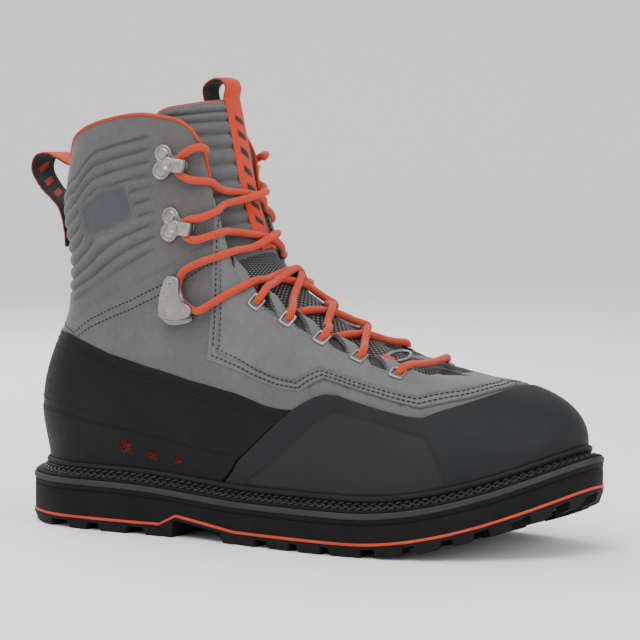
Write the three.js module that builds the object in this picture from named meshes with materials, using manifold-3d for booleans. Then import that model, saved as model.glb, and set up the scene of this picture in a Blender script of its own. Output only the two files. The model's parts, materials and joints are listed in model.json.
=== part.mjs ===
// Wading boot, right foot: laced boot with a rubber rand, a stitched-down welt and a lugged sole.
// Millimetres, +X to the toe, -Y to the outer side, +Z up.
// The origin is on the floor, under the centre of the heel tread.
import * as THREE from 'three';
import Module from 'manifold-3d';

const wasm = await Module();
wasm.setup();
const { Manifold, Mesh, CrossSection } = wasm;

// Driving sizes
const FOOT_LENGTH = 297;
const BALL_WIDTH = 102;
const SHAFT_WIDTH = 92;
const COLLAR_HEIGHT = 212;
const PLATE_HEIGHT = 21.5;
const HEEL_LIFT = 4.5;
const TOE_SPRING = 26;
const SOLE_OVERHANG = 11;
const TREAD_DEPTH = 4;
const TREAD_THICKNESS = 5.5;
const STRIPE_THICKNESS = 1.9;
const BAND_THICKNESS = 3.2;
const WELT_RISE = 4.6;
const WALL = 2.4;
const RAND_THICKNESS = 1.7;
const VAMP_THICKNESS = 1.2;
const TONGUE_THICKNESS = 4;
const WEBBING_WIDTH = 20;
const STRAP_WIDTH = 15;
const WEBBING_THICKNESS = 1.5;
const LACE_DIAMETER = 4.5;
const EYELET_SIZE = 9;
const EYELET_HEIGHT = 1.2;
const HOOK_LOBE = 9.4;
const GAP = 0.3;

// Heel tread centre, as a share of the foot length from the back of the upper
const HEEL_REST = 0.17;
// Toe spring and heel lift, places along the foot
const SPRING_START = 0.685;
const SPRING_LENGTH = 0.347;
const LIFT_END = 0.5;
const LIFT_LENGTH = 0.303;
// Arch of the tread: start, full height and end along the foot, and its height
const ARCH = { start: 0.305, full: 0.339, fall: 0.341, end: 0.466, height: 5 };

const clamp = (value, low = 0, high = 1) => Math.min(high, Math.max(low, value));
const smooth = (value) => clamp(value) ** 2 * (3 - 2 * clamp(value));
const mix = (a, b, share) => a + (b - a) * share;
const bump = (value) => (1 - clamp(Math.abs(value)) ** 2) ** 2;

function table(names, rows) {
  return rows.map((row) => Object.fromEntries(names.map((name, i) => [name, row[i]])));
}

// Stations round the last, from the heel back by the outer side to the toe and home by the inner side.
// footX is a share of FOOT_LENGTH and footY of BALL_WIDTH: the line where the upper meets the sole.
// topX is a share of FOOT_LENGTH, topY of SHAFT_WIDTH, topZ of COLLAR_HEIGHT: collar rim and throat edge.
// square is how full the section between the two lines is: 1 is straight, 2 is a quarter circle.
const LAST = table(
  ['at', 'footX', 'footY', 'topX', 'topY', 'topZ', 'square'],
  [
    [0.0, 0.0, 0.0, 0.043, 0.0, 0.865, 1.0],
    [0.04, 0.022, -0.19, 0.064, -0.205, 0.89, 1.0],
    [0.08, 0.085, -0.318, 0.106, -0.365, 0.955, 1.0],
    [0.14, 0.19, -0.362, 0.196, -0.47, 0.995, 1.0],
    [0.2, 0.32, -0.372, 0.29, -0.495, 1.003, 1.0],
    [0.26, 0.45, -0.415, 0.366, -0.435, 0.95, 1.02],
    [0.32, 0.58, -0.478, 0.4, -0.33, 0.69, 1.2],
    [0.37, 0.69, -0.505, 0.52, -0.285, 0.545, 1.65],
    [0.41, 0.79, -0.48, 0.66, -0.245, 0.45, 2.05],
    [0.45, 0.885, -0.38, 0.765, -0.165, 0.402, 2.35],
    [0.48, 0.965, -0.205, 0.795, -0.065, 0.394, 2.5],
    [0.505, 1.0, 0.04, 0.8, 0.02, 0.39, 2.5],
    [0.53, 0.975, 0.265, 0.793, 0.09, 0.388, 2.5],
    [0.56, 0.905, 0.42, 0.755, 0.165, 0.392, 2.35],
    [0.6, 0.8, 0.49, 0.645, 0.225, 0.43, 2.0],
    [0.65, 0.69, 0.48, 0.5, 0.255, 0.515, 1.5],
    [0.7, 0.57, 0.4, 0.378, 0.3, 0.67, 1.12],
    [0.76, 0.44, 0.325, 0.316, 0.38, 0.93, 1.0],
    [0.82, 0.31, 0.318, 0.25, 0.43, 0.985, 1.0],
    [0.87, 0.19, 0.34, 0.17, 0.425, 0.975, 1.0],
    [0.92, 0.085, 0.308, 0.11, 0.335, 0.935, 1.0],
    [0.96, 0.022, 0.188, 0.066, 0.19, 0.89, 1.0],
  ],
);
const TOE_ROW = 11;
const TOE = LAST[TOE_ROW].at;

// Swellings and hollows of the upper: where they act, centre and reach as shares of COLLAR_HEIGHT,
// size as a share of SHAFT_WIDTH
const SWELL = table(
  ['where', 'centre', 'reach', 'size'],
  [
    ['side', 0.33, 0.198, 0.0435],
    ['side', 0.604, 0.198, -0.0272],
    ['back', 0.302, 0.16, 0.0326],
    ['back', 0.575, 0.189, -0.0217],
    ['back', 0.792, 0.16, 0.0272],
    ['front', 0.066, 0.123, 0.0217],
  ],
);

// Tongue from under the vamp to its top: x of the middle line as a share of FOOT_LENGTH, z of
// COLLAR_HEIGHT, half width and fall of the edges as shares of SHAFT_WIDTH
const TONGUE = table(
  ['x', 'z', 'half', 'fall'],
  [
    [0.823, 0.349, 0.185, 0.033],
    [0.79, 0.375, 0.217, 0.049],
    [0.742, 0.408, 0.261, 0.076],
    [0.685, 0.44, 0.304, 0.098],
    [0.608, 0.483, 0.337, 0.12],
    [0.547, 0.528, 0.359, 0.141],
    [0.49, 0.586, 0.38, 0.163],
    [0.443, 0.649, 0.402, 0.196],
    [0.411, 0.717, 0.413, 0.228],
    [0.394, 0.783, 0.424, 0.261],
    [0.381, 0.854, 0.43, 0.288],
    [0.369, 0.934, 0.424, 0.288],
    [0.359, 1.0, 0.413, 0.261],
    [0.352, 1.042, 0.408, 0.239],
  ],
);

// Rubber rands on the outer side: place round the last and share up the section
const HEEL_RAND_TOP = table(
  ['at', 'up'],
  [
    [0.0, 0.47],
    [0.04, 0.465],
    [0.095, 0.425],
    [0.139, 0.393],
    [0.179, 0.372],
    [0.224, 0.357],
    [0.265, 0.35],
    [0.31, 0.355],
    [0.334, 0.357],
  ],
);
const TOE_RAND_TOP = table(
  ['at', 'up'],
  [
    [0.335, 0.36],
    [0.361, 0.417],
    [0.371, 0.427],
    [0.416, 0.393],
    [0.425, 0.395],
    [0.463, 0.565],
    [0.493, 0.685],
    [TOE, 0.7],
  ],
);
// Slanting line where the toe rand ends over the heel rand, from the welt up
const RAND_JOIN = table(
  ['up', 'at'],
  [
    [0.0, 0.246],
    [0.09, 0.252],
    [0.18, 0.268],
    [0.275, 0.302],
    [0.36, 0.335],
  ],
);
const RAND_FOOT = 0.012;
// Lower edge of the stitched-on vamp and eyestay
const VAMP_LOW = table(
  ['at', 'up'],
  [
    [0.243, 0.4],
    [0.268, 0.396],
    [0.314, 0.415],
    [0.343, 0.412],
    [0.365, 0.482],
    [0.377, 0.482],
    [0.399, 0.475],
    [0.424, 0.457],
    [0.449, 0.555],
    [0.479, 0.672],
    [TOE, 0.755],
  ],
);
const VAMP_REAR_TOP = 0.3;
const VAMP_EDGE = 0.985;
const SCALLOP = 0.05;

// Eyelets and hooks on the outer side: place round the last and share up the section
const EYELETS = table(
  ['at', 'up'],
  [
    [0.332, 0.7],
    [0.355, 0.715],
    [0.376, 0.715],
    [0.396, 0.715],
    [0.417, 0.7],
  ],
);
const HOOKS = table(
  ['at', 'up'],
  [
    [0.2195, 0.772],
    [0.222, 0.636],
  ],
);
const ANKLE_HOOK = { at: 0.217, up: 0.5 };
// The inner eyelets sit nearer the throat edge
const sideUp = (side, up) => (side === 'outer' ? up : mix(up, 1, 0.3));

// Tread lugs along the edge of the sole, by place round the last, with their depth inwards
const EDGE_LUGS = table(
  ['from', 'to', 'depth'],
  [
    [0.012, 0.078, 15],
    [0.096, 0.122, 17],
    [0.133, 0.164, 17],
    [0.177, 0.208, 17],
    [0.255, 0.293, 17],
    [0.302, 0.325, 19],
    [0.33, 0.353, 19],
    [0.358, 0.384, 19],
    [0.391, 0.41, 17],
    [0.416, 0.433, 15],
    [0.439, 0.452, 13],
    [0.458, 0.469, 12],
    [0.475, 0.486, 12],
    [0.492, 0.501, 12],
  ],
);
// Tread lugs inside: middle along the foot, half length and half width as shares of FOOT_LENGTH
// and BALL_WIDTH, and lead of the middle over the ends (chevrons)
const INNER_LUGS = table(
  ['x', 'long', 'wide', 'lead'],
  [
    [0.07, 0.02, 0.13, 0],
    [HEEL_REST, 0.034, 0.15, 0],
    [0.265, 0.022, 0.16, 0],
    [0.505, 0.018, 0.22, 0.03],
    [0.58, 0.02, 0.28, 0.03],
    [0.655, 0.02, 0.3, 0.03],
    [0.73, 0.02, 0.3, 0.03],
    [0.805, 0.02, 0.26, 0.03],
    [0.875, 0.016, 0.18, 0.03],
  ],
);

const place = (x) => (x + HEEL_REST * FOOT_LENGTH) / FOOT_LENGTH;
const along = (share) => (share - HEEL_REST) * FOOT_LENGTH;

// Value of one column of the last at a place on the loop, by a curve through the rows
function onLoop(column, at) {
  const n = LAST.length;
  const s = ((at % 1) + 1) % 1;
  let i = n - 1;
  while (LAST[i].at > s) i -= 1;
  const row = (k) => LAST[(k + n) % n];
  const knot = (k) => row(k).at + Math.floor(k / n);
  const step = knot(i + 1) - knot(i);
  const t = (s - knot(i)) / step;
  const before = row(i)[column];
  const after = row(i + 1)[column];
  const m0 = ((after - row(i - 1)[column]) / (knot(i + 1) - knot(i - 1))) * step;
  const m1 = ((row(i + 2)[column] - before) / (knot(i + 2) - knot(i))) * step;
  const t2 = t * t;
  const t3 = t2 * t;
  return (2 * t3 - 3 * t2 + 1) * before + (t3 - 2 * t2 + t) * m0
    + (3 * t2 - 2 * t3) * after + (t3 - t2) * m1;
}

// Value between the rows of an open table, by straight lines
function between(rows, key, column, value) {
  let i = 0;
  while (i < rows.length - 2 && value > rows[i + 1][key]) i += 1;
  const share = clamp((value - rows[i][key]) / (rows[i + 1][key] - rows[i][key]));
  return mix(rows[i][column], rows[i + 1][column], share);
}

// The same station on the other side of the foot
function otherSide(at) {
  const n = LAST.length;
  let i = 0;
  while (i < TOE_ROW - 1 && at > LAST[i + 1].at) i += 1;
  const share = (at - LAST[i].at) / (LAST[i + 1].at - LAST[i].at);
  const far = LAST[(n - i) % n].at + (i === 0 ? 1 : 0);
  return mix(far, LAST[n - i - 1].at, share);
}

const spring = (x) => TOE_SPRING * Math.max(0, (place(x) - SPRING_START) / SPRING_LENGTH) ** 2;
const plateTop = (x) => PLATE_HEIGHT + HEEL_LIFT * smooth((LIFT_END - place(x)) / LIFT_LENGTH) + spring(x);
const archLift = (x) => ARCH.height * clamp(
  Math.min((place(x) - ARCH.start) / (ARCH.full - ARCH.start), (ARCH.end - place(x)) / (ARCH.end - ARCH.fall)),
);

// Point on the line where the upper meets the sole, moved outwards in plan
function feather(at, out = 0) {
  const x = along(onLoop('footX', at));
  const y = BALL_WIDTH * onLoop('footY', at);
  const e = 1e-4;
  const dx = FOOT_LENGTH * (onLoop('footX', at + e) - onLoop('footX', at - e));
  const dy = BALL_WIDTH * (onLoop('footY', at + e) - onLoop('footY', at - e));
  const l = Math.hypot(dx, dy);
  return new THREE.Vector3(x + (dy / l) * out, y - (dx / l) * out, 0);
}

// Outer face of the upper at a place round the last and a share up its section
function face(at, up) {
  const low = feather(at);
  const normal = feather(at, 1).sub(low);
  const foot = place(low.x);
  low.z = plateTop(low.x) + WELT_RISE + 2 * GAP + 0.1;
  const high = new THREE.Vector3(
    along(onLoop('topX', at)),
    SHAFT_WIDTH * onLoop('topY', at),
    COLLAR_HEIGHT * onLoop('topZ', at),
  );
  const turn = clamp(up) * Math.PI * 0.5;
  const power = 2 / onLoop('square', at);
  const inward = 1 - Math.max(0, Math.cos(turn)) ** power;
  const rise = Math.max(0, Math.sin(turn)) ** power;
  const z = mix(low.z, high.z, rise);
  const side = smooth((0.5505 - foot) / 0.37);
  const weight = { side, back: clamp((0.1296 - foot) / 0.1347), front: 1 - side };
  let out = 0;
  for (const swell of SWELL) {
    const from = swell.where === 'front' ? low.z : 0;
    const away = (z - from) / COLLAR_HEIGHT - swell.centre;
    out += weight[swell.where] * swell.size * SHAFT_WIDTH * bump(away / swell.reach);
  }
  const lift = (plateTop(low.x + normal.x * out) - plateTop(low.x)) * (1 - rise);
  return new THREE.Vector3(
    mix(low.x, high.x, inward) + normal.x * out,
    mix(low.y, high.y, inward) + normal.y * out,
    z + lift,
  );
}

// Directions of the upper's face: forward along the loop, up the section and outwards
function faceAxes(at, up) {
  const e = 2e-4;
  const forward = face(at + e, up).sub(face(at - e, up)).normalize();
  const rise = face(at, Math.min(1, up + e)).sub(face(at, Math.max(0, up - e)));
  const out = new THREE.Vector3().crossVectors(forward, rise).normalize();
  return { forward, rise: new THREE.Vector3().crossVectors(out, forward), out };
}

// Offset from the face; the direction is taken a little below the rim, where it is steady
const STEADY = 0.93;
const offFace = (at, up, out) => face(at, up).addScaledVector(faceAxes(at, Math.min(up, STEADY)).out, out);

// Solids from points and triangles
function solid(points, triangles) {
  const make = (flip) => new Manifold(
    new Mesh({
      numProp: 3,
      vertProperties: new Float32Array(points.flatMap((p) => [p.x, p.y, p.z])),
      triVerts: new Uint32Array(triangles.flatMap(([a, b, c]) => (flip ? [a, c, b] : [a, b, c]))),
    }),
  );
  const made = make(false);
  return made.volume() < 0 ? make(true) : made;
}

// Solid swept through equal closed sections; open ends are closed by rungs between the two halves
function sweep(sections, closed) {
  const count = sections[0].length;
  const triangles = [];
  const at = (i, k) => (i % sections.length) * count + (k % count);
  const quad = (a, b, c, d) => triangles.push([a, b, c], [a, c, d]);
  const last = closed ? sections.length : sections.length - 1;
  for (let i = 0; i < last; i += 1) {
    for (let k = 0; k < count; k += 1) {
      const corners = [at(i, k), at(i + 1, k), at(i + 1, k + 1), at(i, k + 1)];
      // Both halves of a section split their quads along the same diagonal
      if (k < count / 2) quad(...corners);
      else quad(corners[1], corners[2], corners[3], corners[0]);
    }
  }
  if (!closed) {
    for (let k = 0; k < count / 2 - 1; k += 1) {
      const far = count - 1 - k;
      quad(at(0, k), at(0, k + 1), at(0, far - 1), at(0, far));
      quad(at(last, far), at(last, far - 1), at(last, k + 1), at(last, k));
    }
  }
  return solid(sections.flat(), triangles);
}

// Panel between two offsets from a surface: columns of [place, share up] pairs
function panel(columns, inner, outer, closed) {
  return sweep(
    columns.map((column) => [
      ...column.map(([at, up]) => offFace(at, up, outer)),
      ...[...column].reverse().map(([at, up]) => offFace(at, up, inner)),
    ]),
    closed,
  );
}

const steps = (count) => Array.from({ length: count + 1 }, (_, i) => i / count);

// Places round the last, a few between each two rows
function loopPlaces(count) {
  return LAST.flatMap((row, i) => {
    const next = i + 1 < LAST.length ? LAST[i + 1].at : 1;
    return steps(count).slice(0, count).map((share) => mix(row.at, next, share));
  });
}
const LOOP = loopPlaces(3);
const SOLE_LOOP = loopPlaces(2);
const SECTION_ROWS = 7;
const FINENESS = 0.12;

// Plate with the outline of the sole, between two heights over the floor
function plate(out, low, high) {
  const outline = SOLE_LOOP.map((at) => feather(at, out));
  const n = outline.length;
  const points = [low, high].flatMap((height) => outline.map((p) => new THREE.Vector3(p.x, p.y, height(p.x))));
  const triangles = [];
  const quad = (a, b, c, d) => {
    if (a !== d) triangles.push([a, b, c], [a, c, d]);
    else triangles.push([a, b, c]);
  };
  for (let i = 0; i < n; i += 1) quad(i, (i + 1) % n, n + ((i + 1) % n), n + i);
  for (let i = 0; i < n / 2; i += 1) {
    const a = i;
    const b = i + 1;
    const c = n - i - 1;
    const d = (n - i) % n;
    if (b === c) triangles.push([n + a, n + b, n + d], [a, d, b]);
    else if (a === d) triangles.push([n + a, n + b, n + c], [a, c, b]);
    else {
      triangles.push([n + a, n + b, n + c], [n + a, n + c, n + d]);
      triangles.push([a, c, b], [a, d, c]);
    }
  }
  return solid(points, triangles);
}

// Ring round the foot with a section of [out, height over the plate] pairs
function ring(section) {
  return sweep(
    SOLE_LOOP.map((at) => section.map(([out, height]) => {
      const p = feather(at, out);
      p.z = plateTop(p.x) + height;
      return p;
    })),
    true,
  );
}

// Outsole: thin tread plate with lugs that follow the toe spring
function outsole() {
  const top = (x) => spring(x) + archLift(x) + TREAD_THICKNESS;
  const whole = plate(SOLE_OVERHANG, spring, top);
  const base = plate(SOLE_OVERHANG, (x) => spring(x) + archLift(x) + TREAD_DEPTH, top);
  const outlines = [];
  for (const lug of EDGE_LUGS) {
    for (const turn of [(at) => at, otherSide]) {
      const places = [lug.from, (lug.from + lug.to) / 2, lug.to].map(turn);
      const outer = places.map((at) => feather(at, SOLE_OVERHANG + 3));
      const inner = places.map((at) => feather(at, SOLE_OVERHANG - lug.depth)).reverse();
      outlines.push([...outer, ...inner].map((p) => [p.x, p.y]));
    }
  }
  for (const lug of INNER_LUGS) {
    const x = along(lug.x);
    const long = lug.long * FOOT_LENGTH;
    const wide = lug.wide * BALL_WIDTH;
    const lead = lug.lead * FOOT_LENGTH;
    outlines.push([
      [x - long, -wide],
      [x - long + lead, 0],
      [x - long, wide],
      [x + long, wide],
      [x + long + lead, 0],
      [x + long, -wide],
    ]);
  }
  const lugs = outlines.map((outline) => {
    let shape = new CrossSection([outline]);
    if (shape.area() < 1) shape = new CrossSection([[...outline].reverse()]);
    return shape.extrude(TOE_SPRING + 60).translate([0, 0, -20]);
  });
  return base.add(Manifold.union(lugs).intersect(whole)).asOriginal().simplify(FINENESS / 12);
}

// Skin right round the last, open at the collar, along the throat and underneath
function skin(inner, outer) {
  const rows = steps(SECTION_ROWS);
  return panel(LOOP.map((at) => rows.map((up) => [at, up])), inner, outer, true);
}

// Overlay cut from a skin just outside the upper
function overlay(columns, thickness) {
  const cut = skin(GAP, GAP + thickness).intersect(panel(columns, -1, thickness + 2, false));
  return cut.asOriginal().simplify(FINENESS);
}

// Whole run of places from the outer side round to the inner side
const bothSides = (places) => [...places, ...places.slice(0, -1).map(otherSide).reverse()];

function withHalves(rows) {
  return rows.flatMap((row, i) => (i === 0 ? [row.at] : [(rows[i - 1].at + row.at) / 2, row.at]));
}

const GRIP = 0.001;

function heelRand() {
  const start = HEEL_RAND_TOP[HEEL_RAND_TOP.length - 1].at;
  const outerSide = withHalves(HEEL_RAND_TOP);
  const column = (at, turn) => steps(5).map((share) => {
    const up = mix(RAND_FOOT, between(HEEL_RAND_TOP, 'at', 'up', at), share);
    const end = between(RAND_JOIN, 'up', 'at', up) - GRIP;
    return [turn((at * Math.min(end, start)) / start), up];
  });
  const outer = outerSide.map((at) => column(at, (v) => v));
  const inner = outerSide.slice(1).map((at) => column(at, otherSide)).reverse();
  return overlay([...inner, ...outer], RAND_THICKNESS);
}

function toeRand() {
  const start = TOE_RAND_TOP[0].at;
  const column = (at, turn) => steps(5).map((share) => {
    const up = mix(RAND_FOOT, between(TOE_RAND_TOP, 'at', 'up', at), share);
    const end = between(RAND_JOIN, 'up', 'at', mix(RAND_FOOT, TOE_RAND_TOP[0].up, share));
    const back = (end - start) * ((TOE - at) / (TOE - start));
    return [turn(at + back), up];
  });
  const places = withHalves(TOE_RAND_TOP);
  const outer = places.map((at) => column(at, (v) => v));
  const inner = places.slice(0, -1).map((at) => column(at, otherSide)).reverse();
  return overlay([...outer, ...inner], RAND_THICKNESS);
}

// Vamp and eyestay in one piece round the throat, with a scallop between each two eyelets
function vamp() {
  const first = EYELETS[0].at;
  const last = EYELETS[EYELETS.length - 1].at;
  const pitch = (last - first) / (EYELETS.length - 1);
  const edge = (at) => {
    if (at < first || at > last) return VAMP_EDGE;
    return VAMP_EDGE - SCALLOP * Math.sin((Math.PI * (at - first)) / pitch) ** 2;
  };
  const start = VAMP_LOW[0].at;
  const column = (at, turn) => steps(2).map((share) => {
    const shift = (VAMP_REAR_TOP - start) * share * clamp((first - at) / (first - start));
    const moved = at + shift;
    const low = between(VAMP_LOW, 'at', 'up', at);
    return [turn(moved), mix(low, edge(moved), share)];
  });
  const rows = VAMP_LOW.map((row) => row.at).filter((at) => at < first || at > last);
  const scallops = steps(4 * (EYELETS.length - 1)).map((share) => mix(first, last, share));
  const places = [...rows, ...scallops].sort((a, b) => a - b);
  const outer = places.map((at) => column(at, (v) => v));
  const inner = places.slice(0, -1).map((at) => column(at, otherSide)).reverse();
  return overlay([...outer, ...inner], VAMP_THICKNESS);
}

// Bead of rubber round the foot of the rand
function bead() {
  const low = GAP + RAND_THICKNESS + GAP;
  const section = [
    [0, low + 2.8],
    [2.4, low + 2.7],
    [3.6, low],
    [0, low],
  ];
  return sweep(
    LOOP.map((at) => {
      const foot = face(at, 0);
      const height = COLLAR_HEIGHT * onLoop('topZ', at) - foot.z;
      return section.map(([rise, out]) => {
        const turn = Math.asin((rise / height) ** (onLoop('square', at) / 2));
        const p = offFace(at, (turn * 2) / Math.PI, out);
        p.z += plateTop(p.x) - plateTop(foot.x);
        return p;
      });
    }),
    true,
  );
}

// The inner side of the shaft is narrower, so the tongue is narrower and falls faster there
const INNER_HALF = 0.84;
const INNER_FALL = 1.85;

// Middle line of the tongue at a share of its length, with the direction out of the boot
const tongueLine = new THREE.CatmullRomCurve3(
  TONGUE.map((row) => new THREE.Vector3(along(row.x), 0, COLLAR_HEIGHT * row.z)),
  false,
  'centripetal',
);

function onTongue(share, y, out) {
  const middle = tongueLine.getPoint(share);
  const tangent = tongueLine.getTangent(share);
  const normal = new THREE.Vector3(tangent.z, 0, -tangent.x);
  const row = share * (TONGUE.length - 1);
  const i = Math.min(TONGUE.length - 2, Math.floor(row));
  const half = SHAFT_WIDTH * mix(TONGUE[i].half, TONGUE[i + 1].half, row - i);
  let fall = SHAFT_WIDTH * mix(TONGUE[i].fall, TONGUE[i + 1].fall, row - i);
  if (y > 0) fall *= INNER_FALL;
  const across = y / half;
  const slope = (2 * fall * across) / half;
  const lean = 1 / Math.hypot(1, slope);
  return {
    half,
    point: middle
      .addScaledVector(normal, out * lean - fall * across * across)
      .add(new THREE.Vector3(0, y + out * lean * slope, 0)),
  };
}

function tongue() {
  const sections = steps(TONGUE.length - 1).map((share) => {
    const { half } = onTongue(share, 0, 0);
    const across = steps(8).map((v) => (2 * v - 1) * half * (v > 0.5 ? INNER_HALF : 1));
    return [
      ...across.map((y) => onTongue(share, y, 0).point),
      ...across.map((y) => onTongue(share, y, -TONGUE_THICKNESS).point).reverse(),
    ];
  });
  return sweep(sections, false);
}

const ACROSS = [-1, -0.4, 0.4, 1];

// Flat webbing through sections across it, given by a function of the place
function webbing(count, pointAt) {
  const half = WEBBING_WIDTH / 2;
  const across = ACROSS.map((side) => side * half);
  return sweep(
    steps(count).map((share) => [
      ...across.map((y) => pointAt(share, y, WEBBING_THICKNESS)),
      ...across.map((y) => pointAt(share, y, 0)).reverse(),
    ]),
    false,
  );
}

function freeWebbing(line, count) {
  const curve = new THREE.CatmullRomCurve3(
    line.map(([x, z]) => new THREE.Vector3(x, 0, z)),
    false,
    'centripetal',
  );
  return webbing(count, (share, y, out) => {
    const tangent = curve.getPointAt(share) && curve.getTangentAt(share);
    const normal = new THREE.Vector3(tangent.z, 0, -tangent.x);
    return curve.getPointAt(share).addScaledVector(normal, out).add(new THREE.Vector3(0, y, 0));
  });
}

const STRAP_REST = 1.3;

// Strap down the front of the tongue, with the pull loop over its top edge
function tongueStrap() {
  const foot = 8 / (TONGUE.length - 1);
  const top = onTongue(1, 0, STRAP_REST).point;
  const back = onTongue(1, 0, -TONGUE_THICKNESS - GAP - WEBBING_THICKNESS).point;
  const loop = [
    [top.x, top.z + 3],
    [top.x, top.z + 6.5],
    [top.x - 3, top.z + 9.5],
    [back.x - 1, top.z + 9.5],
    [back.x - 6, top.z + 6],
    [back.x - 5.5, top.z],
    [back.x - 1.5, top.z - 8],
    [back.x + 1, top.z - 17],
  ];
  const line = new THREE.CatmullRomCurve3(
    [top, ...loop.map(([x, z]) => new THREE.Vector3(x, 0, z))],
    false,
    'centripetal',
  );
  const onFront = steps(5).map((share) => ACROSS.map((side) => (out) => (
    onTongue(mix(foot, 1, share), (side * STRAP_WIDTH) / 2, STRAP_REST + out).point
  )));
  const fall = top.x - onTongue(1, STRAP_WIDTH / 2, STRAP_REST).point.x;
  const inLoop = steps(12).slice(1).map((share) => ACROSS.map((side) => (out) => {
    const tangent = line.getTangentAt(share);
    const normal = new THREE.Vector3(tangent.z, 0, -tangent.x);
    const settle = side * side * fall * clamp(1 - share * 3);
    return line.getPointAt(share)
      .addScaledVector(normal, out - settle)
      .add(new THREE.Vector3(0, (side * STRAP_WIDTH) / 2, 0));
  }));
  return sweep(
    [...onFront, ...inLoop].map((section) => [
      ...section.map((at) => at(WEBBING_THICKNESS)),
      ...section.map((at) => at(0)).reverse(),
    ]),
    false,
  );
}

// Pull loop at the back of the collar, from the outside over the rim to the inside
function heelLoop() {
  const rim = face(0, 1);
  const foot = offFace(0, 0.72, GAP);
  const line = [
    [foot.x - WEBBING_THICKNESS, foot.z - 12],
    [foot.x - WEBBING_THICKNESS - 0.6, foot.z - 4],
    [foot.x - 6, foot.z + 9],
    [rim.x - 20, rim.z - 7],
    [rim.x - 24.5, rim.z],
    [rim.x - 22.5, rim.z + 5.5],
    [rim.x - 15, rim.z + 6.5],
    [rim.x - 5, rim.z + 6],
    [rim.x + 3, rim.z + 5.6],
    [rim.x + WALL + 6, rim.z + 1.5],
    [rim.x + WALL + 7.5, rim.z - 7],
    [rim.x + WALL + 7.5, rim.z - 18],
  ];
  return freeWebbing(line.reverse(), 13);
}

// Basis that sits on the upper's face, its z axis outwards
function seat(at, up, out) {
  const { forward, rise, out: normal } = faceAxes(at, up);
  const across = new THREE.Vector3().crossVectors(rise, normal).normalize();
  return new THREE.Matrix4()
    .makeBasis(across, rise, normal)
    .setPosition(offFace(at, up, out));
}

function seated(made, matrix) {
  return made.transform(matrix.elements);
}

const polygon = (points) => new CrossSection([points]);

// Four-sided eyelet plate standing on a corner, with a round hole
function eyelet() {
  const half = EYELET_SIZE / 2;
  const cut = half * 0.16;
  const corners = [0, 1, 2, 3].flatMap((k) => [-cut, cut].map((side) => {
    const turn = (k * Math.PI) / 2;
    const reach = half + 0.6 - cut;
    return [
      reach * Math.cos(turn) - side * Math.sin(turn),
      reach * Math.sin(turn) + side * Math.cos(turn),
    ];
  }));
  return polygon(corners).subtract(CrossSection.circle(EYELET_SIZE * 0.28, 8)).extrude(EYELET_HEIGHT);
}

// Lace hook: plate with two rivet lobes and a neck with a cap over it
const NECK = 1.6;
const HOOK_PLATE = 1.1;
const HOOK_ROOM = LACE_DIAMETER + 2 * GAP;
const HOOK_FRONT = 5.2;
function hook() {
  const lobe = HOOK_LOBE / 2;
  const spots = [
    [-4.3, 4.3],
    [-4.3, -4.3],
    [HOOK_FRONT, 0],
  ];
  const round = ([x, y], r, sides) => CrossSection.circle(r, sides).translate([x, y]);
  const web = CrossSection.hull(spots.map((spot) => round(spot, lobe - 1.8, 8)));
  const lobes = spots.map((spot) => round(spot, lobe, 8));
  const base = CrossSection.union([web, ...lobes]).extrude(HOOK_PLATE);
  const rivets = spots.slice(0, 2).map(([x, y]) => (
    Manifold.cylinder(1.5, lobe - 1.2, lobe - 2.4, 6).translate([x, y, HOOK_PLATE - 0.2])
  ));
  const neck = round(spots[2], NECK, 6).extrude(HOOK_ROOM + 0.4).translate([0, 0, HOOK_PLATE - 0.2]);
  const cap = Manifold.cylinder(1.3, lobe - 0.3, lobe - 1.1, 8)
    .translate([HOOK_FRONT, 0, HOOK_PLATE + HOOK_ROOM]);
  return Manifold.union([base, ...rivets, neck, cap]);
}

// Cast ankle hook: an upright bar with a foot that points forward
const ANKLE_THICKNESS = 6;
function ankleHook() {
  const body = polygon([
    [-6.5, -12.5],
    [4.5, -11.5],
    [12.5, -7.5],
    [12.5, -0.5],
    [4.5, 2],
    [4.5, 15],
    [-6, 15],
    [-8, 6],
    [-9, -7],
  ]).extrude(ANKLE_THICKNESS, 0, 0, [0.82, 0.88]);
  const slot = Manifold.cube([30, 5.4, 5.4], true).rotate([0, 0, 42]).translate([9.5, 9.5, 2.4]);
  return body.subtract(slot);
}

// Round cord through points, with eight sides
function cord(points, diameter) {
  const curve = new THREE.CatmullRomCurve3(points, false, 'centripetal');
  const count = Math.max(3, Math.round(curve.getLength() / (2.3 * diameter)));
  const sides = 8;
  const frames = curve.computeFrenetFrames(count, false);
  return sweep(
    steps(count).map((share, i) => {
      const centre = curve.getPointAt(share);
      return Array.from({ length: sides }, (_, k) => {
        const angle = ((k + 0.5) * 2 * Math.PI) / sides;
        return centre.clone()
          .addScaledVector(frames.normals[i], (Math.cos(angle) * diameter) / 2)
          .addScaledVector(frames.binormals[i], (Math.sin(angle) * diameter) / 2);
      });
    }),
    false,
  );
}

const LACE_REST = LACE_DIAMETER / 2 + 1.2;
const EDGE_REST = VAMP_THICKNESS + LACE_DIAMETER / 2 + 1.6;
const sideTurn = { outer: (at) => at, inner: otherSide };
const away = { outer: -1, inner: 1 };

// Share along the tongue that has a height
function tongueAt(z) {
  let best = 0;
  for (const share of steps(400)) {
    const now = Math.abs(tongueLine.getPoint(share).z - z);
    if (now < Math.abs(tongueLine.getPoint(best).z - z)) best = share;
  }
  return best;
}

// Place on the outer throat edge that has a height
function edgeAt(z) {
  let low = 0.24;
  let high = 0.43;
  for (let i = 0; i < 24; i += 1) {
    const middle = (low + high) / 2;
    if (COLLAR_HEIGHT * onLoop('topZ', middle) > z) low = middle;
    else high = middle;
  }
  return low;
}

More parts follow.
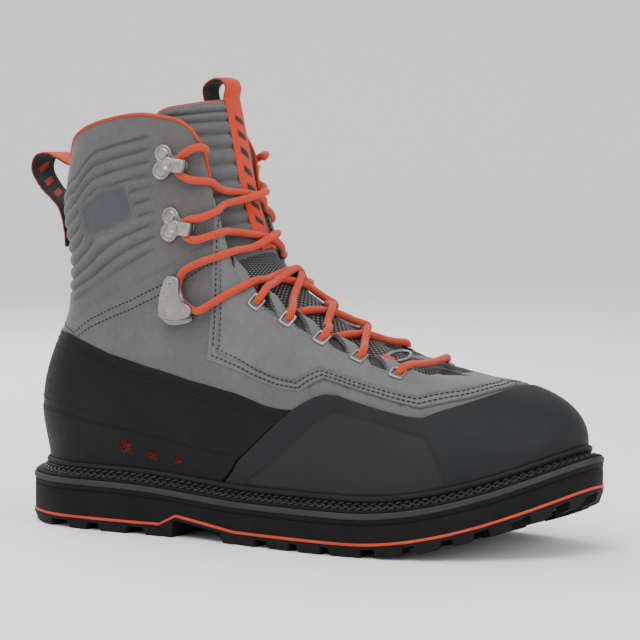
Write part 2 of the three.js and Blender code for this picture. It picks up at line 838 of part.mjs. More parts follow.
// Lace over the throat: edge of one side, tongue, edge of the other; heights are shares of COLLAR_HEIGHT
function overThroat(side, fromZ, toZ, rest, reach = 0.15, edge = EDGE_REST, count = 3) {
  const far = side === 'outer' ? 'inner' : 'outer';
  const half = reach * SHAFT_WIDTH;
  const rim = (which, height) => offFace(sideTurn[which](edgeAt(height * COLLAR_HEIGHT)), 0.98, edge);
  const middle = steps(count).map((share) => onTongue(
    tongueAt(mix(fromZ, toZ, 0.15 + 0.7 * share) * COLLAR_HEIGHT),
    away[side] * mix(half, -half, share),
    rest,
  ).point);
  return [rim(side, fromZ), ...middle, rim(far, toZ)];
}

// Point over the face of one side that is at a place along the foot and a height
function overFace(side, x, z, out) {
  let best = [0.27, 0.7];
  let reach = [0.1, 0.3];
  for (let round = 0; round < 6; round += 1) {
    const [at, up] = best;
    let least = Infinity;
    for (const i of steps(6)) {
      for (const k of steps(6)) {
        const spot = [mix(at - reach[0], at + reach[0], i), Math.min(0.99, mix(up - reach[1], up + reach[1], k))];
        const p = face(sideTurn[side](spot[0]), spot[1]);
        const off = (p.x - x) ** 2 + (p.z - z) ** 2;
        if (off < least) {
          least = off;
          best = spot;
        }
      }
    }
    reach = reach.map((r) => r / 2.2);
  }
  return offFace(sideTurn[side](best[0]), best[1], out);
}

// Straight run over the leather between two points, without its ends
function overLeather(side, from, to, shares) {
  return shares.map((share) => overFace(side, mix(from.x, to.x, share), mix(from.z, to.z, share), EDGE_REST));
}

const OVER_STRAP = STRAP_REST + WEBBING_THICKNESS + LACE_DIAMETER / 2 + 1.2;
const EYELET_SEAT = GAP + VAMP_THICKNESS + 2.6 * GAP;
const OVER_EYELET = EYELET_SEAT + EYELET_HEIGHT + LACE_DIAMETER / 2 + 1.3;
const HOOK_SEAT = GAP + 0.3;
const ANKLE_SEAT = GAP + 1.1;

// Where the lace comes up to a hook, on its upper or lower side: the end first
function atHook(side, index, where) {
  const { at, up } = HOOKS[index];
  const matrix = seat(sideTurn[side](at), up, HOOK_SEAT);
  const forward = side === 'outer' ? 1 : -1;
  const z = HOOK_PLATE + HOOK_ROOM / 2;
  const y = where * (NECK + LACE_DIAMETER / 2 + 0.5);
  return [
    [HOOK_FRONT, y, z],
    [HOOK_FRONT + 9, y * 1.1, z + 0.6],
  ].map((p) => new THREE.Vector3(forward * p[0], p[1], p[2]).applyMatrix4(matrix));
}

// Places that the lace lies over, each with the direction out and the clearance its middle needs
const LACE_CLEAR = LACE_DIAMETER / 2 + 1.6;
function laceFloor() {
  const floor = [];
  for (const side of ['outer', 'inner']) {
    for (const share of steps(70)) {
      for (const up of steps(18)) {
        const at = sideTurn[side](mix(0.2, 0.44, share));
        const rise = mix(0.45, 0.995, up);
        const out = faceAxes(at, Math.min(rise, STEADY)).out;
        floor.push({ point: face(at, rise), out, clear: LACE_CLEAR + GAP + VAMP_THICKNESS });
      }
    }
    EYELETS.forEach((eye) => {
      const at = sideTurn[side](eye.at);
      const up = sideUp(side, eye.up);
      const { forward, rise, out } = faceAxes(at, up);
      for (const [x, y] of [[0, 0], [4.6, 0], [-4.6, 0], [0, 4.6], [0, -4.6], [2.3, 2.3], [-2.3, 2.3]]) {
        const point = offFace(at, up, EYELET_SEAT + EYELET_HEIGHT)
          .addScaledVector(forward, x)
          .addScaledVector(rise, y);
        floor.push({ point, out, clear: LACE_DIAMETER / 2 + 2 });
      }
    });
  }
  for (const share of steps(90)) {
    for (const across of steps(16)) {
      const y = mix(-28, 24, across);
      const rest = Math.abs(y) < STRAP_WIDTH / 2 + 1.5 && share > 0.6 ? STRAP_REST + WEBBING_THICKNESS : 0;
      const point = onTongue(share, y, rest).point;
      const out = onTongue(share, y, rest + 1).point.sub(point);
      floor.push({ point, out, clear: LACE_CLEAR });
    }
  }
  return floor;
}

// Lace line pushed clear of what it lies over; its two ends stay
function settle(points, floor) {
  const curve = new THREE.CatmullRomCurve3(points, false, 'centripetal');
  const count = Math.max(6, Math.round(curve.getLength() / 4));
  const line = steps(count).map((share) => curve.getPointAt(share));
  for (let round = 0; round < 14; round += 1) {
    for (let i = 1; i < line.length - 1; i += 1) {
      line[i].lerp(line[i - 1].clone().add(line[i + 1]).multiplyScalar(0.5), 0.25);
    }
    for (const spot of line.slice(1, -1)) {
      for (const { point, out, clear } of floor) {
        const off = spot.clone().sub(point);
        const far = off.length();
        if (far < clear) {
          const along = off.dot(out);
          if (along > 0) spot.addScaledVector(off, (clear - far) / Math.max(far, 0.01));
          else spot.addScaledVector(out, clear - far);
        }
      }
    }
  }
  return line;
}

function laces() {
  const runs = [];
  for (const side of ['outer', 'inner']) {
    const far = side === 'outer' ? 'inner' : 'outer';
    const onSide = (at, up, out) => offFace(sideTurn[side](at), up, out);
    const onFar = (at, up, out) => offFace(sideTurn[far](at), up, out);
    // Out of each eyelet and over to the far edge
    EYELETS.slice(1, 4).forEach((eye) => {
      const height = face(eye.at, 1).z / COLLAR_HEIGHT;
      const over = overThroat(side, height + 0.01, height + 0.045, LACE_REST, 0.15, OVER_EYELET, 2);
      runs.push([onSide(eye.at, sideUp(side, eye.up), OVER_EYELET), ...over.slice(0, 4)]);
    });
    // Ankle hook to the first eyelet of the far side
    const forward = side === 'outer' ? 1 : -1;
    const hookSeat = seat(sideTurn[side](ANKLE_HOOK.at), ANKLE_HOOK.up, ANKLE_SEAT);
    const local = (x, y, z) => new THREE.Vector3(forward * x, y, z).applyMatrix4(hookSeat);
    const front = local(15.5, -4, 5);
    const instep = overThroat(side, 0.603, 0.6, LACE_REST + 1.5);
    runs.push([
      front,
      ...overLeather(side, front, instep[0], [0.25, 0.5, 0.75]),
      ...instep.slice(0, 5),
      onFar(edgeAt(0.6 * COLLAR_HEIGHT), 0.98, OVER_EYELET),
      onFar(EYELETS[0].at, sideUp(far, EYELETS[0].up), OVER_EYELET),
    ]);
    // Ankle hook to the lower side of the middle hook opposite
    const top = local(2, 19, 5);
    const lower = overThroat(side, 0.698, 0.741, OVER_STRAP);
    const farMiddle = atHook(far, 1, -1);
    runs.push([
      top,
      ...overLeather(side, top, lower[0], [0.3, 0.65]),
      ...lower,
      ...overLeather(far, lower[5], farMiddle[1], [0.4]),
      ...farMiddle.reverse(),
    ]);
    // Middle hook to the lower side of the top hook opposite
    const nearMiddle = atHook(side, 1, 1);
    const upper = overThroat(side, 0.807, 0.854, OVER_STRAP);
    const farTop = atHook(far, 0, -1);
    runs.push([
      ...nearMiddle,
      ...overLeather(side, nearMiddle[1], upper[0], [0.6]),
      ...upper,
      ...overLeather(far, upper[5], farTop[1], [0.4]),
      ...farTop.reverse(),
    ]);
    // Top hook and in behind the edge of the shaft
    runs.push([...atHook(side, 0, 1), onSide(0.252, 0.955, 6), onSide(0.263, 0.985, 5)]);
  }
  const low = EYELETS[4];
  const height = face(low.at, 1).z / COLLAR_HEIGHT;
  runs.push([
    offFace(low.at, low.up, OVER_EYELET),
    ...overThroat('outer', height, height, LACE_REST, 0.08, OVER_EYELET, 2),
    offFace(otherSide(low.at), sideUp('inner', low.up), OVER_EYELET),
  ]);
  const floor = laceFloor();
  const cords = runs.map((points) => cord(settle(points, floor), LACE_DIAMETER));
  return Manifold.union(cords).asOriginal().simplify(FINENESS);
}

// Wire ring on the tongue that keeps the lace at the foot of the throat
const RING = { share: 0.253, y: 1, half: 9.5, depth: 4, wire: 1.8 };

function laceRing() {
  const rest = RING.wire / 2 + 1.3 * GAP;
  const { point } = onTongue(RING.share, RING.y, rest);
  const back = onTongue(RING.share + 0.01, RING.y, rest).point;
  const beside = onTongue(RING.share, RING.y - 1, rest).point;
  const along = back.sub(point).normalize();
  const up = new THREE.Vector3().crossVectors(along, beside.sub(point)).normalize();
  const across = new THREE.Vector3().crossVectors(up, along);
  const sections = steps(16).slice(0, 16).map((share) => {
    const turn = share * 2 * Math.PI;
    const out = along.clone().multiplyScalar(Math.cos(turn)).addScaledVector(across, Math.sin(turn));
    const centre = point.clone()
      .addScaledVector(along, RING.depth * Math.cos(turn))
      .addScaledVector(across, RING.half * Math.sin(turn));
    return steps(5).slice(0, 5).map((k) => centre.clone()
      .addScaledVector(out, (RING.wire / 2) * Math.cos(k * 2 * Math.PI))
      .addScaledVector(up, (RING.wire / 2) * Math.sin(k * 2 * Math.PI)));
  });
  return sweep(sections, true);
}

// Finishes
const finish = (name, color, roughness, metalness = 0) => (
  new THREE.MeshStandardMaterial({ name, color, roughness, metalness })
);
const LEATHER = finish('gray_leather', 0x7a7a7c, 0.85);
const LEATHER_OVERLAY = finish('gray_overlay', 0x85858a, 0.85);
const RAND_RUBBER = finish('rand_rubber', 0x2b2b2e, 0.7);
const TOE_RUBBER = finish('toe_rubber', 0x36363a, 0.7);
const SOLE_RUBBER = finish('sole_rubber', 0x1c1c1e, 0.8);
const MIDSOLE_FOAM = finish('midsole_foam', 0x242426, 0.85);
const BAND_GRAY = finish('welt_gray', 0x4a4a4d, 0.75);
const STRIPE = finish('stripe_rubber', 0xd4664c, 0.7);
const WEBBING = finish('orange_webbing', 0xe4572c, 0.8);
const LACE = finish('orange_cord', 0xe8592b, 0.8);
const METAL = finish('satin_metal', 0xc4c4c0, 0.35, 0.9);
const TONGUE_CLOTH = finish('tongue_cloth', 0x59595c, 0.9);
const FOAM = finish('insole_foam', 0x2e2e32, 0.95);

const boot = new THREE.Group();
boot.name = 'wading_boot';

function add(name, made, material) {
  const data = made.getMesh();
  const geometry = new THREE.BufferGeometry();
  const positions = new Float32Array((data.vertProperties.length / data.numProp) * 3);
  for (let i = 0; i < positions.length / 3; i += 1) {
    for (let k = 0; k < 3; k += 1) positions[i * 3 + k] = data.vertProperties[i * data.numProp + k];
  }
  geometry.setAttribute('position', new THREE.BufferAttribute(positions, 3));
  geometry.setIndex(new THREE.BufferAttribute(new Uint32Array(data.triVerts), 1));
  const flat = geometry.toNonIndexed();
  flat.computeVertexNormals();
  const mesh = new THREE.Mesh(flat, material);
  mesh.name = name;
  boot.add(mesh);
}

// Sole, layer by layer
const stripeLow = (x) => spring(x) + archLift(x) + TREAD_THICKNESS + GAP;
const stripeTop = (x) => stripeLow(x) + STRIPE_THICKNESS;
const bandLow = (x) => plateTop(x) - BAND_THICKNESS;
add('outsole', outsole(), SOLE_RUBBER);
add('sole_stripe', plate(SOLE_OVERHANG, stripeLow, stripeTop), STRIPE);
add('midsole', plate(SOLE_OVERHANG - 0.4, (x) => stripeTop(x) + GAP, (x) => bandLow(x) - GAP), MIDSOLE_FOAM);
add('midsole_band', plate(SOLE_OVERHANG, bandLow, plateTop), BAND_GRAY);
add('welt', ring([
  [SOLE_OVERHANG - 0.8, GAP],
  [SOLE_OVERHANG - 0.8, GAP + 1],
  [3.2, WELT_RISE],
  [-WALL - 0.1, WELT_RISE - 0.5],
  [-WALL - 0.1, GAP],
]), BAND_GRAY);
add('insole', plate(-WALL - 1.2, (x) => plateTop(x) + GAP, (x) => plateTop(x) + WELT_RISE + 2.6), FOAM);

// Upper with its overlays
add('upper', skin(-WALL, 0), LEATHER);
add('heel_rand', heelRand(), RAND_RUBBER);
add('toe_rand', toeRand(), TOE_RUBBER);
add('vamp', vamp(), LEATHER_OVERLAY);
add('rand_bead', bead(), RAND_RUBBER);
add('tongue', tongue(), TONGUE_CLOTH);
add('tongue_strap', tongueStrap(), WEBBING);
add('heel_loop', heelLoop(), WEBBING);

// Lacing
for (const side of ['outer', 'inner']) {
  const turn = sideTurn[side];
  const flip = side === 'outer' ? [1, 1, 1] : [-1, 1, 1];
  EYELETS.forEach((eye, i) => {
    const matrix = seat(turn(eye.at), sideUp(side, eye.up), EYELET_SEAT);
    add(`eyelet_${side}_${i + 1}`, seated(eyelet(), matrix), METAL);
  });
  HOOKS.forEach((spot, i) => {
    const matrix = seat(turn(spot.at), spot.up, HOOK_SEAT);
    add(`hook_${side}_${i + 1}`, seated(hook().scale(flip), matrix), METAL);
  });
  const ankle = seat(turn(ANKLE_HOOK.at), ANKLE_HOOK.up, ANKLE_SEAT);
  add(`ankle_hook_${side}`, seated(ankleHook().scale(flip), ankle), METAL);
}
laces().decompose().forEach((run, i) => add(`lace_${i + 1}`, run, LACE));
add('lace_ring', laceRing(), METAL);

export default boot;
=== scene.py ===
import json
import math

import bmesh
import bpy
import numpy as np
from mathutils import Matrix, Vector

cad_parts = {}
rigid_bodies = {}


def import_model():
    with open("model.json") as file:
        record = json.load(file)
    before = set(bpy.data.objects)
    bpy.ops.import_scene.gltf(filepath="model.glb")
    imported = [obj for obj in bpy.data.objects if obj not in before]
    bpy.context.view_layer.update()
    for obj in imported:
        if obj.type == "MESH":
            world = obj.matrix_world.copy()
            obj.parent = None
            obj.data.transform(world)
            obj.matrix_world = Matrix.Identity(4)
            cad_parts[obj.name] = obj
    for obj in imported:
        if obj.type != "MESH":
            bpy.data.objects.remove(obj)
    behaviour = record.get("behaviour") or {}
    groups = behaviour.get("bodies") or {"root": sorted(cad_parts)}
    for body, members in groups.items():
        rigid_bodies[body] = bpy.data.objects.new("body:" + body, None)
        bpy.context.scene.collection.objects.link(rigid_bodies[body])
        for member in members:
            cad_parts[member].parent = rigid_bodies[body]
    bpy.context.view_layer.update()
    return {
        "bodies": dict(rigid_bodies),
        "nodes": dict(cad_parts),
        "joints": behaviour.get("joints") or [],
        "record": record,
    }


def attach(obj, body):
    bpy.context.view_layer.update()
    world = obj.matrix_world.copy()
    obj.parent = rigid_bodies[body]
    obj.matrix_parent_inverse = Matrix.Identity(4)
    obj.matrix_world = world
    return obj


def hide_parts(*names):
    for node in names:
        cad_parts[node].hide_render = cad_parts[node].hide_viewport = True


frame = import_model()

MM = 0.001

# Camera, where the photograph was taken from, in metres
CAMERA_PLACE = (0.8314, -1.2557, 0.210)
CAMERA_AIM = (0.1064, 0.0, 0.1095)
CAMERA_LENS = 161.2

# Driving sizes of the boot, in millimetres, the same as in the part's source
FOOT_LENGTH = 297.0
BALL_WIDTH = 102.0
SHAFT_WIDTH = 92.0
COLLAR_HEIGHT = 212.0
PLATE_HEIGHT = 21.5
HEEL_LIFT = 4.5
TOE_SPRING = 26.0
SOLE_OVERHANG = 11.0
TREAD_DEPTH = 4.0
TREAD_THICKNESS = 5.5
STRIPE_THICKNESS = 1.9
BAND_THICKNESS = 3.2
WELT_RISE = 4.6
WALL = 2.4
RAND_THICKNESS = 1.7
VAMP_THICKNESS = 1.2
TONGUE_THICKNESS = 4.0
WEBBING_WIDTH = 20.0
STRAP_WIDTH = 15.0
WEBBING_THICKNESS = 1.5
LACE_DIAMETER = 4.5
EYELET_SIZE = 9.0
EYELET_HEIGHT = 1.2
HOOK_LOBE = 9.4
GAP = 0.3
HEEL_REST = 0.17
SPRING_START = 0.685
SPRING_LENGTH = 0.347
LIFT_END = 0.5
LIFT_LENGTH = 0.303
ARCH_START = 0.305
ARCH_FULL = 0.339
ARCH_FALL = 0.341
ARCH_END = 0.466
ARCH_HEIGHT = 5.0
STRAP_REST = 1.3
INNER_HALF = 0.84
INNER_FALL = 1.85

# Stations round the last: place, foot x and y, top x, y and z, fullness of the section
LAST = np.array([
    (0.0, 0.0, 0.0, 0.043, 0.0, 0.865, 1.0),
    (0.04, 0.022, -0.19, 0.064, -0.205, 0.89, 1.0),
    (0.08, 0.085, -0.318, 0.106, -0.365, 0.955, 1.0),
    (0.14, 0.19, -0.362, 0.196, -0.47, 0.995, 1.0),
    (0.2, 0.32, -0.372, 0.29, -0.495, 1.003, 1.0),
    (0.26, 0.45, -0.415, 0.366, -0.435, 0.95, 1.02),
    (0.32, 0.58, -0.478, 0.4, -0.33, 0.69, 1.2),
    (0.37, 0.69, -0.505, 0.52, -0.285, 0.545, 1.65),
    (0.41, 0.79, -0.48, 0.66, -0.245, 0.45, 2.05),
    (0.45, 0.885, -0.38, 0.765, -0.165, 0.402, 2.35),
    (0.48, 0.965, -0.205, 0.795, -0.065, 0.394, 2.5),
    (0.505, 1.0, 0.04, 0.8, 0.02, 0.39, 2.5),
    (0.53, 0.975, 0.265, 0.793, 0.09, 0.388, 2.5),
    (0.56, 0.905, 0.42, 0.755, 0.165, 0.392, 2.35),
    (0.6, 0.8, 0.49, 0.645, 0.225, 0.43, 2.0),
    (0.65, 0.69, 0.48, 0.5, 0.255, 0.515, 1.5),
    (0.7, 0.57, 0.4, 0.378, 0.3, 0.67, 1.12),
    (0.76, 0.44, 0.325, 0.316, 0.38, 0.93, 1.0),
    (0.82, 0.31, 0.318, 0.25, 0.43, 0.985, 1.0),
    (0.87, 0.19, 0.34, 0.17, 0.425, 0.975, 1.0),
    (0.92, 0.085, 0.308, 0.11, 0.335, 0.935, 1.0),
    (0.96, 0.022, 0.188, 0.066, 0.19, 0.89, 1.0),
])
FOOT_X, FOOT_Y, TOP_X, TOP_Y, TOP_Z, SQUARE = range(1, 7)
TOE_ROW = 11
TOE = LAST[TOE_ROW, 0]
# Swellings: where, centre and reach (shares of COLLAR_HEIGHT), size (share of SHAFT_WIDTH)
SWELL = [
    ("side", 0.33, 0.198, 0.0435),
    ("side", 0.604, 0.198, -0.0272),
    ("back", 0.302, 0.16, 0.0326),
    ("back", 0.575, 0.189, -0.0217),
    ("back", 0.792, 0.16, 0.0272),
    ("front", 0.066, 0.123, 0.0217),
]
# Tongue: x (share of FOOT_LENGTH), z (of COLLAR_HEIGHT), half width and fall (of SHAFT_WIDTH)
TONGUE = np.array([
    (0.823, 0.349, 0.185, 0.033),
    (0.79, 0.375, 0.217, 0.049),
    (0.742, 0.408, 0.261, 0.076),
    (0.685, 0.44, 0.304, 0.098),
    (0.608, 0.483, 0.337, 0.12),
    (0.547, 0.528, 0.359, 0.141),
    (0.49, 0.586, 0.38, 0.163),
    (0.443, 0.649, 0.402, 0.196),
    (0.411, 0.717, 0.413, 0.228),
    (0.394, 0.783, 0.424, 0.261),
    (0.381, 0.854, 0.43, 0.288),
    (0.369, 0.934, 0.424, 0.288),
    (0.359, 1.0, 0.413, 0.261),
    (0.352, 1.042, 0.408, 0.239),
])
# Outlines on the outer side, as (place round the last, share up the section)
HEEL_RAND_TOP = np.array([
    (0.0, 0.47), (0.04, 0.465), (0.095, 0.425), (0.139, 0.393), (0.179, 0.372),
    (0.224, 0.357), (0.265, 0.35), (0.31, 0.355), (0.334, 0.357),
])
TOE_RAND_TOP = np.array([
    (0.335, 0.36), (0.361, 0.417), (0.371, 0.427), (0.416, 0.393), (0.425, 0.395),
    (0.463, 0.565), (0.493, 0.685), (TOE, 0.7),
])
# (share up, place)
RAND_JOIN = np.array([
    (0.0, 0.246), (0.09, 0.252), (0.18, 0.268), (0.275, 0.302), (0.36, 0.335),
])
RAND_FOOT = 0.012
VAMP_LOW = np.array([
    (0.243, 0.4), (0.268, 0.396), (0.314, 0.415), (0.343, 0.412), (0.365, 0.482),
    (0.377, 0.482), (0.399, 0.475), (0.424, 0.457), (0.449, 0.555), (0.479, 0.672),
    (TOE, 0.755),
])
VAMP_REAR_TOP = 0.3
VAMP_EDGE = 0.985
SCALLOP = 0.05
EYELETS = [(0.332, 0.7), (0.355, 0.715), (0.376, 0.715), (0.396, 0.715), (0.417, 0.7)]
HOOKS = [(0.2195, 0.772), (0.222, 0.636)]
ANKLE_HOOK = (0.217, 0.5)
# Seam between the padded shaft and the quarter
SHAFT_SEAM = np.array([
    (0.0, 0.515), (0.045, 0.5), (0.085, 0.462), (0.105, 0.482), (0.16, 0.515),
    (0.207, 0.557), (0.24, 0.6), (0.268, 0.64), (0.3, 0.68),
])
# Lower stitched seam of the heel rand
HEEL_STEP = np.array([(0.0, 0.305), (0.03, 0.297), (0.127, 0.24), (0.207, 0.208), (0.271, 0.195)])
VENTS = [(0.156, 0.173, 3.4), (0.181, 0.152, 2.7), (0.206, 0.147, 2.2)]
# Corners of the flat side field on the toe rand
TOE_FIELD = np.array([
    (0.262, 0.0), (0.277, 0.118), (0.324, 0.25), (0.368, 0.367), (0.396, 0.34),
    (0.424, 0.285), (0.434, 0.052), (0.436, 0.0),
])


# Numbers
def clamp(value, low=0.0, high=1.0):
    return np.clip(value, low, high)


def smooth(value):
    t = clamp(value)
    return t * t * (3 - 2 * t)


def mix(a, b, share):
    return a + (b - a) * share


def bump(value):
    return (1 - clamp(np.abs(value)) ** 2) ** 2


def read(rows, key):
    """Second column of an open table at a value of its first, by straight lines"""
    return np.interp(key, rows[:, 0], rows[:, 1])


# The boot's own surfaces
def on_loop(column, at):
    count = len(LAST)
    s = np.mod(at, 1.0)
    i = np.clip(np.searchsorted(LAST[:, 0], s, side="right") - 1, 0, count - 1)

    def knot(k):
        return LAST[k % count, 0] + np.floor(k / count)

    def value(k):
        return LAST[k % count, column]

    step = knot(i + 1) - knot(i)
    t = (s - knot(i)) / step
    m0 = (value(i + 1) - value(i - 1)) / (knot(i + 1) - knot(i - 1)) * step
    m1 = (value(i + 2) - value(i)) / (knot(i + 2) - knot(i)) * step
    t2 = t * t
    t3 = t2 * t
    rise = (2 * t3 - 3 * t2 + 1) * value(i) + (t3 - 2 * t2 + t) * m0
    return rise + (3 * t2 - 2 * t3) * value(i + 1) + (t3 - t2) * m1


def other_side(at):
    """The same station on the inner side of the foot"""
    count = len(LAST)
    i = np.clip(np.searchsorted(LAST[:, 0], at, side="right") - 1, 0, TOE_ROW - 1)
    share = (at - LAST[i, 0]) / (LAST[i + 1, 0] - LAST[i, 0])
    far = LAST[(count - i) % count, 0] + (i == 0)
    return mix(far, LAST[count - i - 1, 0], share)


def foot_place(x):
    return (x + HEEL_REST * FOOT_LENGTH) / FOOT_LENGTH


def along(share):
    return (share - HEEL_REST) * FOOT_LENGTH


def spring(x):
    return TOE_SPRING * np.maximum(0, (foot_place(x) - SPRING_START) / SPRING_LENGTH) ** 2


def plate_top(x):
    lift = HEEL_LIFT * smooth((LIFT_END - foot_place(x)) / LIFT_LENGTH)
    return PLATE_HEIGHT + lift + spring(x)


def arch_lift(x):
    rise = (foot_place(x) - ARCH_START) / (ARCH_FULL - ARCH_START)
    fall = (ARCH_END - foot_place(x)) / (ARCH_END - ARCH_FALL)
    return ARCH_HEIGHT * clamp(np.minimum(rise, fall))


def feather(at, out=0.0):
    """Plan x and y of the line where the upper meets the sole, moved outwards"""
    e = 1e-4
    x = along(on_loop(FOOT_X, at))
    y = BALL_WIDTH * on_loop(FOOT_Y, at)
    dx = FOOT_LENGTH * (on_loop(FOOT_X, at + e) - on_loop(FOOT_X, at - e))
    dy = BALL_WIDTH * (on_loop(FOOT_Y, at + e) - on_loop(FOOT_Y, at - e))
    length = np.hypot(dx, dy)
    return x + dy / length * out, y - dx / length * out, dy / length, -dx / length


def face(at, up):
    """Outer face of the upper at a place round the last and a share up its section"""
    at, up = np.broadcast_arrays(np.asarray(at, float), np.asarray(up, float))
    x, y, nx, ny = feather(at)
    foot = foot_place(x)
    low = plate_top(x) + WELT_RISE + 2 * GAP + 0.1
    high = COLLAR_HEIGHT * on_loop(TOP_Z, at)
    turn = clamp(up) * math.pi / 2
    power = 2 / on_loop(SQUARE, at)
    inward = 1 - np.maximum(0, np.cos(turn)) ** power
    rise = np.maximum(0, np.sin(turn)) ** power
    z = mix(low, high, rise)
    side = smooth((0.5505 - foot) / 0.37)
    weight = {"side": side, "back": clamp((0.1296 - foot) / 0.1347), "front": 1 - side}
    out = np.zeros_like(z)
    for where, centre, reach, size in SWELL:
        start = low if where == "front" else 0.0
        away = (z - start) / COLLAR_HEIGHT - centre
        out = out + weight[where] * size * SHAFT_WIDTH * bump(away / reach)
    lift = (plate_top(x + nx * out) - plate_top(x)) * (1 - rise)
    px = mix(x, along(on_loop(TOP_X, at)), inward) + nx * out
    py = mix(y, SHAFT_WIDTH * on_loop(TOP_Y, at), inward) + ny * out
    return np.stack([px, py, z + lift], -1)


def unit(v):
    return v / np.maximum(1e-9, np.linalg.norm(v, axis=-1, keepdims=True))


def face_axes(at, up):
    e = 2e-4
    forward = unit(face(at + e, up) - face(at - e, up))
    rise = face(at, np.minimum(1, up + e)) - face(at, np.maximum(0, up - e))
    out = unit(np.cross(forward, rise))
    return forward, np.cross(out, forward), out


STEADY = 0.93


def off_face(at, up, out):
    at, up, out = np.broadcast_arrays(*(np.asarray(v, float) for v in (at, up, out)))
    return face(at, up) + face_axes(at, np.minimum(up, STEADY))[2] * out[..., None]


def spline(points, samples, whole=False):
    """Points along a smooth open line through the given ones, at even lengths"""
    p = np.asarray(points, float)
    p = np.vstack([2 * p[0] - p[1], p, 2 * p[-1] - p[-2]])
    line = []
    for i in range(1, len(p) - 2):
        t = np.linspace(0, 1, 24, endpoint=False)[:, None]
        a, b, c, d = p[i - 1:i + 3]
        gaps = [max(1e-6, np.linalg.norm(v) ** 0.5) for v in (b - a, c - b, d - c)]
        m0 = (b - a) / gaps[0] - (c - a) / (gaps[0] + gaps[1]) + (c - b) / gaps[1]
        m1 = (c - b) / gaps[1] - (d - b) / (gaps[1] + gaps[2]) + (d - c) / gaps[2]
        m0, m1 = m0 * gaps[1], m1 * gaps[1]
        line.append(
            (2 * t ** 3 - 3 * t ** 2 + 1) * b + (t ** 3 - 2 * t ** 2 + t) * m0
            + (3 * t ** 2 - 2 * t ** 3) * c + (t ** 3 - t ** 2) * m1
        )
    line = np.vstack(line + [p[-2][None]])
    if whole:
        return line
    run = np.concatenate([[0], np.cumsum(np.linalg.norm(np.diff(line, axis=0), axis=1))])
    even = np.linspace(0, run[-1], samples)
    return np.stack([np.interp(even, run, line[:, k]) for k in range(line.shape[1])], -1)


TONGUE_LINE = spline(
    np.stack([along(TONGUE[:, 0]), np.zeros(len(TONGUE)), COLLAR_HEIGHT * TONGUE[:, 1]], -1),
    0, whole=True,
)


def on_tongue(share, y, out):
    share, y, out = np.broadcast_arrays(*(np.asarray(v, float) for v in (share, y, out)))
    spots = np.linspace(0, 1, len(TONGUE_LINE))
    middle = np.stack([np.interp(share, spots, TONGUE_LINE[:, k]) for k in range(3)], -1)
    e = 4e-3
    before = np.stack([np.interp(share - e, spots, TONGUE_LINE[:, k]) for k in range(3)], -1)
    after = np.stack([np.interp(share + e, spots, TONGUE_LINE[:, k]) for k in range(3)], -1)
    tangent = unit(after - before)
    normal = np.stack([tangent[..., 2], 0 * share, -tangent[..., 0]], -1)
    rows = np.linspace(0, 1, len(TONGUE))
    half = SHAFT_WIDTH * np.interp(share, rows, TONGUE[:, 2])
    fall = SHAFT_WIDTH * np.interp(share, rows, TONGUE[:, 3]) * np.where(y > 0, INNER_FALL, 1)
    across = y / half
    slope = 2 * fall * across / half
    lean = 1 / np.hypot(1, slope)
    middle = middle + normal * (out * lean - fall * across ** 2)[..., None]
    middle[..., 1] += y + out * lean * slope
    return middle


def tongue_half(share):
    return SHAFT_WIDTH * np.interp(share, np.linspace(0, 1, len(TONGUE)), TONGUE[:, 2])


# Making pieces
def finished(name, shape, material, marks=None, replaces=(), smooth_faces=True):
    """Turns a bmesh in millimetres into a piece that rides on the boot"""
    mesh = bpy.data.meshes.new(name)
    shape.to_mesh(mesh)
    shape.free()
    return placed(name, mesh, material, marks, replaces, smooth_faces, MM)


def placed(name, mesh, material, marks=None, replaces=(), smooth_faces=True, scale=1.0):
    if scale != 1.0:
        co = np.empty(len(mesh.vertices) * 3, np.float32)
        mesh.vertices.foreach_get("co", co)
        mesh.vertices.foreach_set("co", co * scale)
    mesh.polygons.foreach_set("use_smooth", [smooth_faces and len(p.vertices) < 5 for p in mesh.polygons])
    mesh.update()
    piece = bpy.data.objects.new(name, mesh)
    bpy.context.scene.collection.objects.link(piece)
    mesh.materials.append(material)
    for key, values in (marks or {}).items():
        layer = mesh.attributes.new(key, "FLOAT", "POINT")
        layer.data.foreach_set("value", np.asarray(values, np.float32))
    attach(piece, "root")
    if replaces:
        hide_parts(*replaces)
    return piece


def sheet(name, columns, rows, spot, material, closed=False, replaces=(), back=False, solid=False):
    """A grid whose points are set by spot(u, v) -> (points, marks); closed joins its two ends, solid all"""
    shape = bmesh.new()
    bmesh.ops.create_grid(shape, x_segments=columns, y_segments=rows, size=0.5)
    u = np.array([v.co.x for v in shape.verts]) + 0.5
    v = np.array([p.co.y for p in shape.verts]) + 0.5
    shape.verts.index_update()
    points, marks = spot(u, v)
    layers = {key: shape.verts.layers.float.new(key) for key in marks}
    for i, vert in enumerate(shape.verts):
        vert.co = points[i]
    for key, layer in layers.items():
        values = np.broadcast_to(marks[key], u.shape)
        for i, vert in enumerate(shape.verts):
            vert[layer] = float(values[i])
    uv = shape.loops.layers.uv.new("UVMap")
    for f in shape.faces:
        for loop in f.loops:
            k = loop.vert.index
            loop[uv].uv = (u[k], v[k])
    if closed:
        ends = [vert for vert in shape.verts if u[vert.index] < 1e-6 or u[vert.index] > 1 - 1e-6]
        bmesh.ops.remove_doubles(shape, verts=ends, dist=1e-3)
    if solid:
        bmesh.ops.remove_doubles(shape, verts=shape.verts, dist=1e-4)
        bmesh.ops.recalc_face_normals(shape, faces=shape.faces)
    if back:
        bmesh.ops.reverse_faces(shape, faces=shape.faces)
    return finished(name, shape, material, None, replaces)


